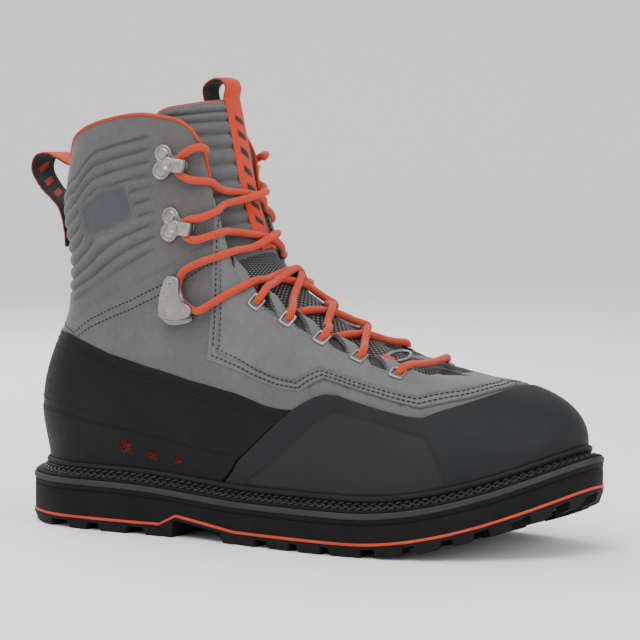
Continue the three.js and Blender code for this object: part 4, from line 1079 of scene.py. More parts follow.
def heel_rand_relief(at, up, flat, low, high, left, right):
    outer = half_place(at)
    below = (read(HEEL_STEP, outer) - up) * 185
    step = smooth(below / 0.9)
    seam = np.exp(-(below / 0.55) ** 2)
    vent = np.zeros_like(up)
    rim = np.zeros_like(up)
    for centre, rise, size in VENTS:
        across = (outer - centre) * 640
        along_up = (up - rise) * 175
        slanted = across + along_up * 0.1
        lifted = along_up + across * 0.12
        inside = size - np.maximum(np.abs(slanted), np.abs(lifted))
        vent = np.maximum(vent, smooth((inside + 0.3) / 0.6))
        rim = np.maximum(rim, np.exp(-((inside + 0.3) / 0.7) ** 2))
    row = np.exp(-((high - 3.2) / 0.45) ** 2) + np.exp(-((high - 5.8) / 0.45) ** 2)
    out = 0.55 * step - 0.3 * seam - 1.0 * vent + 0.3 * rim - 0.22 * row
    # Painted shade mark: dark in the seam groove and along the stitch rows
    crease = 0.5 * seam + 0.3 * row
    return out, {"crease": clamp(crease), "vent": vent}


def toe_rand_spot(u, v):
    start = TOE_RAND_TOP[0, 0]
    place, _ = round_toe(u, start)
    up = mix(RAND_FOOT, read(TOE_RAND_TOP, place), v)
    end = read(RAND_JOIN, mix(RAND_FOOT, TOE_RAND_TOP[0, 1], v))
    moved = place + (end - start) * ((TOE - place) / (TOE - start))
    return across_to(u, moved, True), up


def toe_rand_relief(at, up, flat, low, high, left, right):
    outer = half_place(at)
    top = read(TOE_FIELD, outer)
    depth = (top - up) * 120
    sides = np.minimum((outer - TOE_FIELD[0, 0]) * 400, (TOE_FIELD[-1, 0] - outer) * 400)
    inside = np.minimum(depth, sides)
    field = smooth(inside / 0.9)
    line = np.exp(-((inside - 0.1) / 0.5) ** 2)
    return -0.55 * field + 0.12 * line, {"crease": 0 * up, "field": field}


def bead():
    """Roll of rubber round the foot of the rands"""
    def spot(u, v):
        foot = face(u, 0 * u)
        height = COLLAR_HEIGHT * on_loop(TOP_Z, u) - foot[:, 2]
        low = GAP + RAND_THICKNESS * 0.5
        turn = (v * 1.2 - 0.35) * math.pi
        rise = clamp(2.0 - 2.0 * np.cos(turn), 0, 4.0)
        out = low + 0.6 + 2.5 * np.sin(turn)
        share = np.arcsin((rise / height) ** (on_loop(SQUARE, u) / 2)) * 2 / math.pi
        points = off_face(u, share, out)
        points[:, 2] += plate_top(points[:, 0]) - plate_top(foot[:, 0]) - 0.9
        # Painted shade mark on the last rows, where the roll tucks in against the rand
        return points, {"crease": 0 * u + (v > 0.93)}
    return sheet("rand_roll", 360, 16, spot, BAND_DARK, closed=True, replaces=("rand_bead",))


BAND_DARK = rubber("bead_rubber", "rand_rubber", (0.013, 0.0135, 0.0145), (0.008, 0.0085, 0.009), 0.58).material


# Sole
def ring(name, section, material, count=420, replaces=(), crease=None):
    """Closed section of (out, z(x)) pairs swept round the sole"""
    ends = len(section)

    def spot(u, v):
        k = np.round(v * ends).astype(int) % ends
        outs = np.array([s[0] for s in section])[k]
        x, y, _, _ = feather(u, outs)
        z = np.zeros_like(u)
        for i, (_, height) in enumerate(section):
            z = np.where(k == i, height(x), z)
        points = np.stack([x, y, z], -1)
        mark = 0 * u
        # Painted shade mark for each point of the section, when given
        if crease:
            mark = np.array(crease)[k] * 1.0
        return points, {"crease": mark}

    return sheet(name, count, ends, spot, material, closed=True, replaces=replaces, solid=True)


def rounded(out, low, high, radius, depth=7.0, steps=4):
    """Section of a layer: back edge, then a rounded outer edge from low to high"""
    section = [(out - depth, lambda x: low(x) + 0.02)]
    for i in range(steps + 1):
        turn = -math.pi / 2 + math.pi / 2 * i / steps
        section.append((
            out - radius + radius * math.cos(turn),
            lambda x, t=turn: low(x) + radius + radius * math.sin(t),
        ))
    for i in range(steps + 1):
        turn = math.pi / 2 * i / steps
        section.append((
            out - radius + radius * math.cos(turn),
            lambda x, t=turn: high(x) - radius + radius * math.sin(t),
        ))
    section.append((out - depth, lambda x: high(x) - 0.02))
    return section


def sole_layers():
    def stripe_low(x):
        return spring(x) + arch_lift(x) + TREAD_THICKNESS + 0.1

    def stripe_top(x):
        return stripe_low(x) + STRIPE_THICKNESS - 0.4

    def band_low(x):
        return plate_top(x) - BAND_THICKNESS

    ring("stripe_layer", rounded(SOLE_OVERHANG + 0.1, stripe_low, stripe_top, 0.4), STRIPE, 520, ("sole_stripe",))
    foam = rounded(SOLE_OVERHANG - 0.35, lambda x: stripe_top(x) - 0.05, lambda x: band_low(x) + 0.05, 0.5)
    high = lambda x: band_low(x) - 2.6
    groove = [
        (SOLE_OVERHANG - 0.35, lambda x: high(x) - 0.5),
        (SOLE_OVERHANG - 1.0, high),
        (SOLE_OVERHANG - 0.35, lambda x: high(x) + 0.5),
    ]
    foam = foam[:6] + groove + foam[6:]
    # Painted shade mark, darkest in the groove
    crease = [0] * 6 + [0.2, 1, 0.2] + [0] * (len(foam) - 9)
    ring("midsole_layer", foam, MIDSOLE, 420, ("midsole",), crease)
    ring("band_layer", rounded(SOLE_OVERHANG + 0.1, band_low, plate_top, 0.9, 8.5), BAND, 420, ("midsole_band",))

    def welt_height(extra):
        return lambda x: plate_top(x) + extra

    section = [
        (2.0, welt_height(0.1)), (SOLE_OVERHANG - 0.9, welt_height(0.1)), (SOLE_OVERHANG - 0.8, welt_height(0.8)),
        (SOLE_OVERHANG - 1.6, welt_height(1.5)), (7.8, welt_height(1.5)), (7.2, welt_height(1.1)),
        (5.6, welt_height(1.3)), (5.0, welt_height(2.4)), (3.4, welt_height(4.2)), (2.0, welt_height(4.5)),
        (0.5, welt_height(4.4)), (-1.0, welt_height(4.0)), (-1.0, welt_height(0.2)),
    ]
    # Painted shade mark in the valley of the welt's slope
    ring("welt_strip", section, WELT, 420, ("welt",), [0, 0, 0, 0, 0.3, 0.8, 0.8, 0.3, 0, 0, 0, 0, 0])


def ruled(name, out, height, material, columns=150, rows=36, replaces=(), back=False, dome=0.0):
    """Sheet across the sole, from the outer edge line to the inner one"""
    def spot(u, v):
        at = ease(u, 1.2) * TOE
        x0, y0, _, _ = feather(at, out)
        x1, y1, _, _ = feather(np.mod(other_side(at), 1.0), out)
        w = v
        x = mix(x0, x1, w)
        y = mix(y0, y1, w)
        z = height(x) + dome * (4 * w * (1 - w)) ** 0.25
        return np.stack([x, y, z], -1), {"crease": 0 * u}
    return sheet(name, columns, rows, spot, material, False, replaces, back)


def block(shape, low, high):
    """Closed block between two outlines with the same number of corners"""
    rings = [[shape.verts.new(p) for p in outline] for outline in (low, high)]
    count = len(low)
    faces = [shape.faces.new(rings[0][::-1]), shape.faces.new(rings[1])]
    for i in range(count):
        j = (i + 1) % count
        faces.append(shape.faces.new((rings[0][i], rings[0][j], rings[1][j], rings[1][i])))
    return faces


# Tread
EDGE_LUGS = [
    (0.012, 0.078, 15), (0.096, 0.122, 17), (0.133, 0.164, 17), (0.177, 0.208, 17), (0.255, 0.293, 17),
    (0.302, 0.325, 19), (0.33, 0.353, 19), (0.358, 0.384, 19), (0.391, 0.41, 17), (0.416, 0.433, 15),
    (0.439, 0.452, 13), (0.458, 0.469, 12), (0.475, 0.486, 12), (0.492, 0.501, 12),
]
INNER_LUGS = [
    (0.07, 0.02, 0.13, 0.0), (0.17, 0.034, 0.15, 0.0), (0.265, 0.022, 0.16, 0.0),
    (0.505, 0.018, 0.22, 0.03), (0.58, 0.02, 0.28, 0.03), (0.655, 0.02, 0.3, 0.03),
    (0.73, 0.02, 0.3, 0.03), (0.805, 0.02, 0.26, 0.03), (0.875, 0.016, 0.18, 0.03),
]


def tread_base(x):
    return spring(x) + arch_lift(x) + TREAD_DEPTH


def lug(outline, taper=2.3):
    """Bevelled block from the ground line into the base plate; outline in plan, anticlockwise"""
    outline = np.asarray(outline, float)
    centre = outline.mean(0)
    x, y = outline.T
    away = outline - centre
    small = centre + away * (1 - taper / np.maximum(taper, np.linalg.norm(away, axis=1)))[:, None]
    low = np.stack([small[:, 0], small[:, 1], spring(small[:, 0])], -1)
    high = np.stack([x, y, tread_base(x) + 1.2], -1)
    shape = bmesh.new()
    block(shape, low, high)
    edges = [e for e in shape.edges if not (e.verts[0].co.z > low[:, 2].max() + 2 and e.verts[1].co.z > low[:, 2].max() + 2)]
    bmesh.ops.bevel(shape, geom=edges, offset=0.5, segments=2, affect="EDGES", profile=0.5, material=-1)
    return shape


def tread():
    whole = bmesh.new()

    def take(shape):
        mesh = bpy.data.meshes.new("part")
        shape.to_mesh(mesh)
        shape.free()
        whole.from_mesh(mesh)
        bpy.data.meshes.remove(mesh)

    for start, end, depth in EDGE_LUGS:
        for side in (0, 1):
            places = np.linspace(start, end, max(3, int((end - start) / 0.006)))
            at = np.mod(other_side(places), 1.0) if side else places
            ox, oy, _, _ = feather(at, SOLE_OVERHANG + (0.4 if start < 0.46 else 0.0))
            ix, iy, _, _ = feather(at, SOLE_OVERHANG - depth)
            outer = np.stack([ox, oy], -1)
            inner = np.stack([ix, iy], -1)
            if side:
                outer, inner = outer[::-1], inner[::-1]
            take(lug(np.vstack([outer, inner[::-1]])))
    for x, long, wide, lead in INNER_LUGS:
        middle = on_ground(x)
        outline = [
            (x - long, -wide), (x - long + lead, 0), (x - long, wide),
            (x + long, wide), (x + long + lead, 0), (x + long, -wide),
        ]
        points = [(along(a), middle + BALL_WIDTH * b) for a, b in outline]
        take(lug(points[::-1]))
    return finished("tread_lugs", whole, SOLE_RUBBER, smooth_faces=False)


def on_ground(share):
    """Middle line of the sole at a share of its length"""
    at = np.linspace(0.02, TOE - 0.01, 200)
    x0, y0, _, _ = feather(at, 0.0)
    x1, y1, _, _ = feather(np.mod(other_side(at), 1.0), 0.0)
    x = along(share)
    return 0.5 * (np.interp(x, x0, y0) + np.interp(x, x1, y1))


def outsole():
    def low(x):
        return tread_base(x)

    def high(x):
        return spring(x) + arch_lift(x) + TREAD_THICKNESS + 0.05

    ring("outsole_edge", rounded(SOLE_OVERHANG - 0.2, low, high, 0.4, 9.0), SOLE_RUBBER, 520, ("outsole",))
    ruled("outsole_face", SOLE_OVERHANG - 6.0, lambda x: low(x) + 0.25, SOLE_RUBBER, 150, 40, back=True)
    tread()


# Stage
def light(name, place, aim, size, power, color=(1, 1, 1)):
    lamp = bpy.data.lights.new(name, "AREA")
    lamp.energy = power
    lamp.size = size
    lamp.color = color
    it = bpy.data.objects.new(name, lamp)
    bpy.context.scene.collection.objects.link(it)
    it.location = place
    it.rotation_mode = "QUATERNION"
    it.rotation_quaternion = (Vector(aim) - Vector(place)).to_track_quat("-Z", "Y")
    return it


def studio():
    scene = bpy.context.scene
    eye = bpy.data.cameras.new("photo_camera")
    eye.lens = CAMERA_LENS
    eye.sensor_width = 36
    eye.clip_start = 0.05
    eye.clip_end = 50
    camera = bpy.data.objects.new("photo_camera", eye)
    scene.collection.objects.link(camera)
    camera.location = CAMERA_PLACE
    camera.rotation_mode = "QUATERNION"
    camera.rotation_quaternion = (Vector(CAMERA_AIM) - Vector(CAMERA_PLACE)).to_track_quat("-Z", "Y")
    scene.camera = camera

    shape = bmesh.new()
    bmesh.ops.create_grid(shape, x_segments=90, y_segments=90, size=9)
    back = (Vector(CAMERA_AIM) - Vector(CAMERA_PLACE)).to_2d().normalized()
    for vert in shape.verts:
        behind = max(0.0, vert.co.to_2d().dot(back) - 2.8)
        vert.co.z = 1.1 * behind ** 2 / (0.9 + behind)
    for f in shape.faces:
        f.smooth = True
    mesh = bpy.data.meshes.new("floor")
    shape.to_mesh(mesh)
    shape.free()
    floor = bpy.data.objects.new("floor", mesh)
    scene.collection.objects.link(floor)
    paper = bpy.data.materials.new("floor_paper")
    paper.use_nodes = True
    paper.node_tree.nodes["Principled BSDF"].inputs["Base Color"].default_value = (0.92, 0.92, 0.92, 1)
    paper.node_tree.nodes["Principled BSDF"].inputs["Roughness"].default_value = 0.9
    mesh.materials.append(paper)

    world = bpy.data.worlds.new("studio")
    world.use_nodes = True
    world.node_tree.nodes["Background"].inputs["Color"].default_value = (1, 1, 1, 1)
    world.node_tree.nodes["Background"].inputs["Strength"].default_value = 1.0
    scene.world = world
    light("key", (0.2, -1.1, 1.5), (0.09, 0, 0.1), 1.1, 24)
    light("side", (1.7, -0.5, 0.75), (0.12, 0, 0.1), 0.9, 12)
    light("rim", (-0.9, 0.7, 1.0), (0.05, 0, 0.14), 0.8, 12)


def insole_and_lining():
    ruled("footbed", -3.4, lambda x: plate_top(x) + 7.3, INSOLE_CLOTH, 130, 40, ("insole",), dome=0.0)


# Cords
def frames(line):
    """Even normals and binormals along a line, carried without twist"""
    tangent = unit(np.gradient(line, axis=0))
    normal = np.cross(tangent[0], (0.0, 0.3, 1.0))
    normals = []
    for t in tangent:
        normal = normal - t * np.dot(normal, t)
        normal = normal / np.linalg.norm(normal)
        normals.append(normal)
    normals = np.array(normals)
    return normals, np.cross(tangent, normals)


def tube(name, points, radius, material, replaces=(), sides=14, step=1.2, loop=False, flat=1.0):
    """Round cord through points with rounded ends"""
    length = np.linalg.norm(np.diff(points, axis=0), axis=1).sum()
    count = max(8, int(length / step))
    line = spline(points, count + 1)
    normals, binormals = frames(line)
    run = np.linspace(0, length, count + 1)
    size = np.ones(count + 1)
    if not loop:
        end = np.minimum(run, length - run)
        size = np.sqrt(np.maximum(0, 1 - (1 - clamp(end / radius)) ** 2))

    def spot(u, v):
        i = np.round(u * count).astype(int)
        turn = v * 2 * math.pi
        r = radius * size[i]
        side = normals[i] * (np.cos(turn) * r)[:, None] + binormals[i] * (np.sin(turn) * r * flat)[:, None]
        return line[i] + side, {"run": run[i]}

    return sheet(name, count, sides, spot, material, replaces=replaces, solid=True)


# Tongue
PAD_START = 0.565
PLEAT_PITCH = 7.6


def tongue_piece(name, start, end, low, high, material, relief, replaces=(), columns=120, half_rows=44, grow=0.0):
    """Closed pad between two shares of the tongue, from out = low to high"""
    rows = 2 * half_rows
    length = 250.0 * (end - start)

    def spot(u, v):
        share = mix(start, end, ease(u, 1.4))
        from_end = np.minimum(share - start, end - share) * 250.0
        k = np.round(v * rows) / half_rows
        under = k > 1
        across = np.where(under, 3 - 2 * k, 2 * k - 1)
        side = np.sin(across * math.pi / 2)
        half = tongue_half(share) + grow
        half = half - 5.0 * (1 - np.sqrt(np.maximum(0, 1 - (1 - clamp((end - share) * 250 / 9.0)) ** 2)))
        y = side * half
        from_side = (1 - np.abs(side)) * half
        edge = np.minimum(from_side, from_end)
        roll = np.sqrt(np.maximum(0, 1 - (1 - clamp(edge / 1.8)) ** 2))
        middle = (low + high) / 2
        extra, crease = relief(share, y, edge)
        out = np.where(under, middle - (middle - low) * roll, middle + (high - middle + extra) * roll)
        # Painted shade from the relief, none on the underside
        crease = np.where(under, 0, crease)
        return on_tongue(share, y, out), {"crease": clamp(crease), "inside": under * 1.0}

    return sheet(name, columns, rows, spot, material, replaces=replaces, solid=True)


def pleats(share, y, edge):
    down = (1.0 - share) * 205.0
    line = (down - 10.0 + 0.0016 * y * y) / PLEAT_PITCH
    near = np.abs(line - np.round(line)) * PLEAT_PITCH
    groove = np.exp(-(near / 0.8) ** 2) * smooth((line + 0.5) / 0.2)
    puff = 0.5 - 0.5 * np.cos(math.pi * clamp(near / (PLEAT_PITCH / 2)))
    frame = smooth((edge - 2.5) / 1.5)
    # Second value is a painted shade mark in the pleat grooves
    return 0.9 * puff * frame - 0.75 * groove * frame + 0.3 * smooth(edge / 5), groove * 0.6 * frame


def tongue():
    tongue_piece("tongue_net", 0.0, PAD_START + 0.02, -TONGUE_THICKNESS, 0.0, MESH_CLOTH,
                 lambda share, y, edge: (0.25 * smooth(edge / 6), 0 * share), ("tongue",), 110, grow=1.0)
    tongue_piece("tongue_padding", PAD_START, 1.0, -TONGUE_THICKNESS, 0.55, TONGUE_PAD, pleats, (), 150, 40, 0.2)
    # Binding over the padding's top edge
    places = []
    for share in np.linspace(0.8, 1.0, 26)[:-1]:
        places.append((share, -1))
    for across in np.linspace(-1, 1, 22):
        places.append((1.0, across))
    for share in np.linspace(1.0, 0.8, 26)[1:]:
        places.append((share, 1))
    points = []
    for share, across in places:
        half = float(tongue_half(share))
        half -= 5.0 * (1 - math.sqrt(max(0.0, 1 - (1 - min(1.0, (1.0 - share) * 250 / 9.0)) ** 2)))
        y = float(np.sin(across * math.pi / 2)) * half if abs(across) < 1 else across * half
        points.append(on_tongue(share + 0.001, y, -1.6))
    tube("tongue_binding", np.array(points).reshape(-1, 3), 0.8, PIPING, (), 10, 1.5)


# Webbing
def webbing(name, place, length, width, replaces, dashes, columns=150, half_rows=22):
    """Flat webbing with rounded edges; place(share, y, out) gives its points"""
    rows = 2 * half_rows
    half = width / 2

    def spot(u, v):
        k = np.round(v * rows) / half_rows
        under = k > 1
        across = np.where(under, 3 - 2 * k, 2 * k - 1)
        side = np.sin(across * math.pi / 2)
        y = side * half
        edge = np.minimum((1 - np.abs(side)) * half, np.minimum(u, 1 - u) * length)
        roll = np.sqrt(np.maximum(0, 1 - (1 - clamp(edge / 0.6)) ** 2))
        seam = 0.12 * np.exp(-((half - np.abs(y) - 1.6) / 0.4) ** 2)
        thick = WEBBING_THICKNESS / 2
        out = thick + np.where(under, -1, 1) * (thick * roll - seam)
        marks = {"run": u * length, "across": 0.5 + side / 2, "inside": under * 1.0}
        marks["dashes"] = dashes(u, under)
        return place(u, y, out), marks

    return sheet(name, columns, rows, spot, WEBBING, replaces=replaces, solid=True)


def flat_line(points):
    """Line in the middle plane and its normals, for webbing"""
    line = spline(np.array([(x, 0.0, z) for x, z in points]), 300)
    tangent = unit(np.gradient(line, axis=0))
    normal = np.stack([tangent[:, 2], 0 * tangent[:, 0], -tangent[:, 0]], -1)
    return line, normal


def tongue_strap():
    foot = 8 / (len(TONGUE) - 1) - 0.04
    top = on_tongue(1.0, 0.0, STRAP_REST)
    back = on_tongue(1.0, 0.0, -TONGUE_THICKNESS - GAP - WEBBING_THICKNESS)
    tx, tz, bx = top[0], top[2], back[0]
    loop = [
        (tx, tz), (tx, tz + 3), (tx, tz + 6.5), (tx - 3, tz + 9.5), (bx - 1, tz + 9.5), (bx - 6, tz + 6),
        (bx - 5.5, tz), (bx - 1.5, tz - 8), (bx + 1, tz - 17),
    ]
    line, normal = flat_line(loop)
    front, rest = 85.0, 62.0
    split = front / (front + rest)
    fall = tx - on_tongue(1.0, STRAP_WIDTH / 2, STRAP_REST)[0]

    def place(u, y, out):
        share = mix(foot, 1.0, clamp(u / split))
        low = on_tongue(share, y, STRAP_REST - 0.7 + out)
        t = clamp((u - split) / (1 - split)) * (len(line) - 1)
        i = np.clip(t.astype(int), 0, len(line) - 2)
        f = (t - i)[:, None]
        centre = mix(line[i], line[i + 1], f)
        side = mix(normal[i], normal[i + 1], f)
        settle = (2 * y / STRAP_WIDTH) ** 2 * fall * clamp(1 - t / (len(line) - 1) * 3)
        high = centre + side * (out - 0.7 * clamp(1 - t / 60) - settle)[:, None]
        high[:, 1] += y
        return np.where((u < split)[:, None], low, high)

    webbing("strap_webbing", place, front + rest, STRAP_WIDTH, ("tongue_strap",),
            lambda u, under: (~under) * (u > 0.07) * (u < 0.5) * 1.0, 170)


def heel_loop():
    rim = face(0.0, 1.0)
    foot = off_face(0.0, 0.72, GAP)
    rx, rz, fx, fz = rim[0], rim[2], foot[0], foot[2]
    points = [
        (fx - 1.5, fz - 12), (fx - 2.1, fz - 4), (fx - 6, fz + 9), (rx - 20, rz - 7), (rx - 25, rz + 1.5),
        (rx - 23, rz + 7.5), (rx - 17, rz + 9.0), (rx - 10, rz + 6.8), (rx - 3, rz + 3.6), (rx + 2.5, rz + 2.8),
        (rx + 6.5, rz + 0.6), (rx + WALL + 6.2, rz - 5), (rx + WALL + 7.5, rz - 18),
    ]
    line, normal = flat_line(points[::-1])

    def place(u, y, out):
        t = u * (len(line) - 1)
        i = np.clip(t.astype(int), 0, len(line) - 2)
        f = (t - i)[:, None]
        spot = mix(line[i], line[i + 1], f) + mix(normal[i], normal[i + 1], f) * out[:, None]
        spot[:, 1] += y
        return spot

    webbing("heel_webbing", place, 110.0, WEBBING_WIDTH, ("heel_loop",),
            lambda u, under: under * (u > 0.5) * (u < 0.86) * 1.0, 150)


def piping():
    places = np.concatenate([np.linspace(0.705, 1.0, 90)[:-1], np.linspace(0.0, 0.302, 90)])
    rim = face(places, np.full(len(places), 0.999))
    _, _, out = face_axes(places, np.full(len(places), 0.93))
    rise = unit(face(places, np.full(len(places), 0.999)) - face(places, np.full(len(places), 0.985)))
    front = smooth((half_place(places) - 0.25) / 0.02)[:, None]
    tube("collar_piping", rim + out * (0.35 + 0.9 * front) + rise * 0.3, 0.85, PIPING, (), 10, 1.5)


# Metal
def on_side(side, at):
    return float(np.mod(other_side(at), 1.0)) if side == "inner" else at


def side_up(side, up):
    return mix(up, 1.0, 0.3) if side == "inner" else up


def seat(at, up, out):
    """Origin and axes of a fitting on the face: across, up the face, outwards"""
    place = np.array([at]), np.array([up])
    _, rise, normal = face_axes(*place)
    across = unit(np.cross(rise[0], normal[0]))
    return off_face(place[0], place[1], out)[0], np.stack([across, rise[0], normal[0]])


def settled(shape, where, forward):
    """Moves a fitting from its own axes to its seat; forward is -1 on the inner side"""
    origin, axes = where
    for vert in shape.verts:
        local = np.array([vert.co.x * forward, vert.co.y, vert.co.z])
        vert.co = origin + local @ axes
    if forward < 0:
        bmesh.ops.reverse_faces(shape, faces=shape.faces)
    return shape


def lathe(shape, profile, centre, segments=24):
    """Turned form about an upright axis; the profile runs from the axis outwards and down"""
    verts = [shape.verts.new((centre[0] + r, centre[1], z)) for r, z in profile]
    edges = [shape.edges.new(pair) for pair in zip(verts, verts[1:])]
    made = bmesh.ops.spin(
        shape, geom=verts + edges, cent=(centre[0], centre[1], 0), axis=(0, 0, 1),
        angle=2 * math.pi, steps=segments, use_merge=True,
    )
    bmesh.ops.remove_doubles(shape, verts=shape.verts, dist=1e-4)
    return made


def plate(shape, outline, low, high, bevel=0.35):
    """Bevelled plate with an outline in plan, anticlockwise"""
    faces = block(shape, [(x, y, low) for x, y in outline], [(x, y, high) for x, y in outline])
    edges = list({edge for f in faces[:2] for edge in f.edges})
    bmesh.ops.bevel(shape, geom=edges, offset=bevel, segments=2, affect="EDGES", profile=0.5, material=-1)


HOOK_SPOTS = [(-4.3, 4.3), (-4.3, -4.3), (5.2, 0.0)]
HOOK_PLATE = 1.1
HOOK_ROOM = LACE_DIAMETER + 2 * GAP


def hook_outline():
    """Outline of three round lobes with a web between them"""
    discs = [(x, y, HOOK_LOBE / 2) for x, y in HOOK_SPOTS]
    for a, b in ((0, 1), (1, 2), (2, 0)):
        for t in np.linspace(0, 1, 13):
            x = mix(HOOK_SPOTS[a][0], HOOK_SPOTS[b][0], t)
            y = mix(HOOK_SPOTS[a][1], HOOK_SPOTS[b][1], t)
            discs.append((x, y, 2.4))
    outline = []
    for turn in np.linspace(0, 2 * math.pi, 72, endpoint=False):
        d = np.array([math.cos(turn), math.sin(turn)])
        reach = 2.0
        for x, y, r in discs:
            ahead = x * d[0] + y * d[1]
            beside = r * r - (x * x + y * y - ahead * ahead)
            if beside > 0:
                reach = max(reach, ahead + math.sqrt(beside))
        outline.append((reach * d[0], reach * d[1]))
    return outline


def hook():
    shape = bmesh.new()
    plate(shape, hook_outline(), 0, HOOK_PLATE)
    for x, y in HOOK_SPOTS[:2]:
        lathe(shape, [(0, 1.95), (1.7, 1.9), (2.6, 1.7), (3.0, 1.3), (3.1, 0.95), (3.5, 0.95), (3.6, 1.3),
                      (4.1, 1.5), (4.55, 1.3), (4.7, 0.7)], (x, y))
    # Folded clip: from the plate's front up and back over the lace
    path = spline(
        [(3.5, 0, 1.3), (7.6, 0, 1.35), (9.3, 0, 2.4), (9.7, 0, 4.4), (9.0, 0, 6.5), (7.2, 0, 7.15), (2.4, 0, 7.2)], 22,
    )
    tangent = unit(np.gradient(path, axis=0))
    normal = np.stack([-tangent[:, 2], 0 * tangent[:, 0], tangent[:, 0]], -1)
    rows = []
    for centre, n in zip(path, normal):
        corners = [(-3.5, -0.3), (-3.3, 0.5), (3.3, 0.5), (3.5, -0.3), (3.3, -0.5), (-3.3, -0.5)]
        rows.append([shape.verts.new(Vector(centre + n * h) + Vector((0, w, 0))) for w, h in corners])
    clip = []
    for a, b in zip(rows, rows[1:]):
        for i in range(6):
            j = (i + 1) % 6
            clip.append(shape.faces.new((a[i], a[j], b[j], b[i])))
    clip.append(shape.faces.new(rows[0][::-1]))
    clip.append(shape.faces.new(rows[-1]))
    lathe(shape, [(0, 7.75), (2.2, 7.75), (2.5, 8.2), (3.3, 8.2), (3.8, 7.8), (3.9, 6.9), (3.4, 6.7), (0, 6.7)], (1.9, 0))
    bmesh.ops.recalc_face_normals(shape, faces=shape.faces)
    # Painted shade: full in the grooves round the rivets, and painted shadow at half strength on the plate under the
    # clip
    dark = shape.verts.layers.float.new("crease")
    for vert in shape.verts:
        reach = min(math.hypot(vert.co.x - x, vert.co.y - y) for x, y in HOOK_SPOTS[:2])
        groove = 3.05 < reach < 3.55 and vert.co.z < 1.1
        shade = math.hypot(vert.co.x - 5.2, vert.co.y) < 4.6 and vert.co.z < 1.2
        vert[dark] = 1.0 if groove else 0.5 if shade else 0.0
    return shape


ANKLE_BODY = [
    (-6.3, -10.1), (-0.5, -10.4), (4.0, -9.4), (8.2, -8.2), (10.6, -6.4), (11.2, -3.8), (10.4, -1.6), (7.6, -0.6),
    (4.6, 0.4), (3.0, 2.0), (2.4, 4.6), (2.4, 9.4), (1.6, 11.6), (-1.2, 12.3), (-4.8, 12.1), (-6.2, 10.4),
    (-7.6, 4.8), (-8.4, -1.6), (-8.7, -6.8), (-8.0, -9.3),
]
ANKLE_WALL = [
    (-6.3, -10.1), (-0.5, -10.4), (4.0, -9.4), (8.2, -8.2), (10.3, -6.7), (8.0, -6.2), (3.2, -6.7), (-1.3, -5.8),
    (-3.8, -2.4), (-4.2, 4.0), (-3.8, 11.8), (-4.8, 12.1), (-6.2, 10.4), (-7.6, 4.8), (-8.4, -1.6), (-8.7, -6.8),
    (-8.0, -9.3),
]
ANKLE_BASE = [
    (-9.8, -9.9), (-8.8, -11.7), (-5.0, -13.4), (0.5, -12.9), (6.6, -10.8), (9.2, -8.8), (7.0, -7.0), (-8.6, -5.2),
]


def ankle_hook():
    shape = bmesh.new()
    plate(shape, ANKLE_BODY, 4.3, 7.0, 0.8)
    plate(shape, ANKLE_BASE, 0.2, 1.7, 0.3)
    plate(shape, ANKLE_WALL, 0.0, 5.2, 0.2)
    for x, y, r in ((-3.6, 8.8, 1.4), (-3.4, -6.8, 1.7), (6.4, -4.6, 1.5)):
        lathe(shape, [(0, 7.3), (r * 0.7, 7.25), (r, 6.95), (r, 6.7)], (x, y), 16)
    bmesh.ops.recalc_face_normals(shape, faces=shape.faces)
    return shape


def eyelet():
    """Thin frame standing on a corner, with rounded corners"""
    shape = bmesh.new()
    turns = np.linspace(0, 2 * math.pi, 48, endpoint=False)
    section = [(4.65, 0.0), (4.7, 0.7), (4.3, 1.15), (3.4, 1.15), (2.9, 0.75), (2.8, 0.0)]
    rows = []
    for turn in turns:
        c, s = abs(math.cos(turn)), abs(math.sin(turn))
        squareness = (c ** 1.15 + s ** 1.15) ** (-1 / 1.15) * 1.06
        ahead, aside = math.cos(turn + EYELET_TURN), math.sin(turn + EYELET_TURN)
        rows.append([shape.verts.new((r * squareness * ahead, r * squareness * aside, z)) for r, z in section])
    for a, b in zip(rows, rows[1:] + rows[:1]):
        for i in range(len(section)):
            j = (i + 1) % len(section)
            shape.faces.new((a[i], a[j], b[j], b[i]))
    bmesh.ops.recalc_face_normals(shape, faces=shape.faces)
    return shape


EYELET_SEAT = GAP + VAMP_THICKNESS + 0.1
EYELET_TURN = 0.75
HOOK_SEAT = GAP + 0.9
ANKLE_SEAT = GAP + 1.1


def fittings():
    for side in ("outer", "inner"):
        forward = 1 if side == "outer" else -1
        for i, (at, up) in enumerate(EYELETS):
            where = seat(on_side(side, at), side_up(side, up), EYELET_SEAT)
            finished(f"eyelet_frame_{side}_{i + 1}", settled(eyelet(), where, forward), EYELET_METAL, None,
                     (f"eyelet_{side}_{i + 1}",))
        for i, (at, up) in enumerate(HOOKS):
            where = seat(on_side(side, at), up, HOOK_SEAT)
            finished(f"hook_clip_{side}_{i + 1}", settled(hook(), where, forward), METAL, None,
                     (f"hook_{side}_{i + 1}",))
        where = seat(on_side(side, ANKLE_HOOK[0]), ANKLE_HOOK[1], ANKLE_SEAT)
        finished(f"ankle_cast_{side}", settled(ankle_hook(), where, forward), CAST_METAL, None, (f"ankle_hook_{side}",))


# Laces
LACE_RADIUS = 1.95
LACE_REST = LACE_RADIUS + 0.9
EDGE_REST = LACE_RADIUS + 1.3
OVER_STRAP = STRAP_REST + WEBBING_THICKNESS + LACE_RADIUS + 0.2
OVER_EYELET = EYELET_SEAT + EYELET_HEIGHT + LACE_RADIUS + 0.4
AWAY = {"outer": -1, "inner": 1}
FAR = {"outer": "inner", "inner": "outer"}


def tongue_at(z):
    shares = np.linspace(0, 1, 401)
    heights = on_tongue(shares, 0 * shares, 0 * shares)[:, 2]
    return float(shares[np.argmin(np.abs(heights - z))])


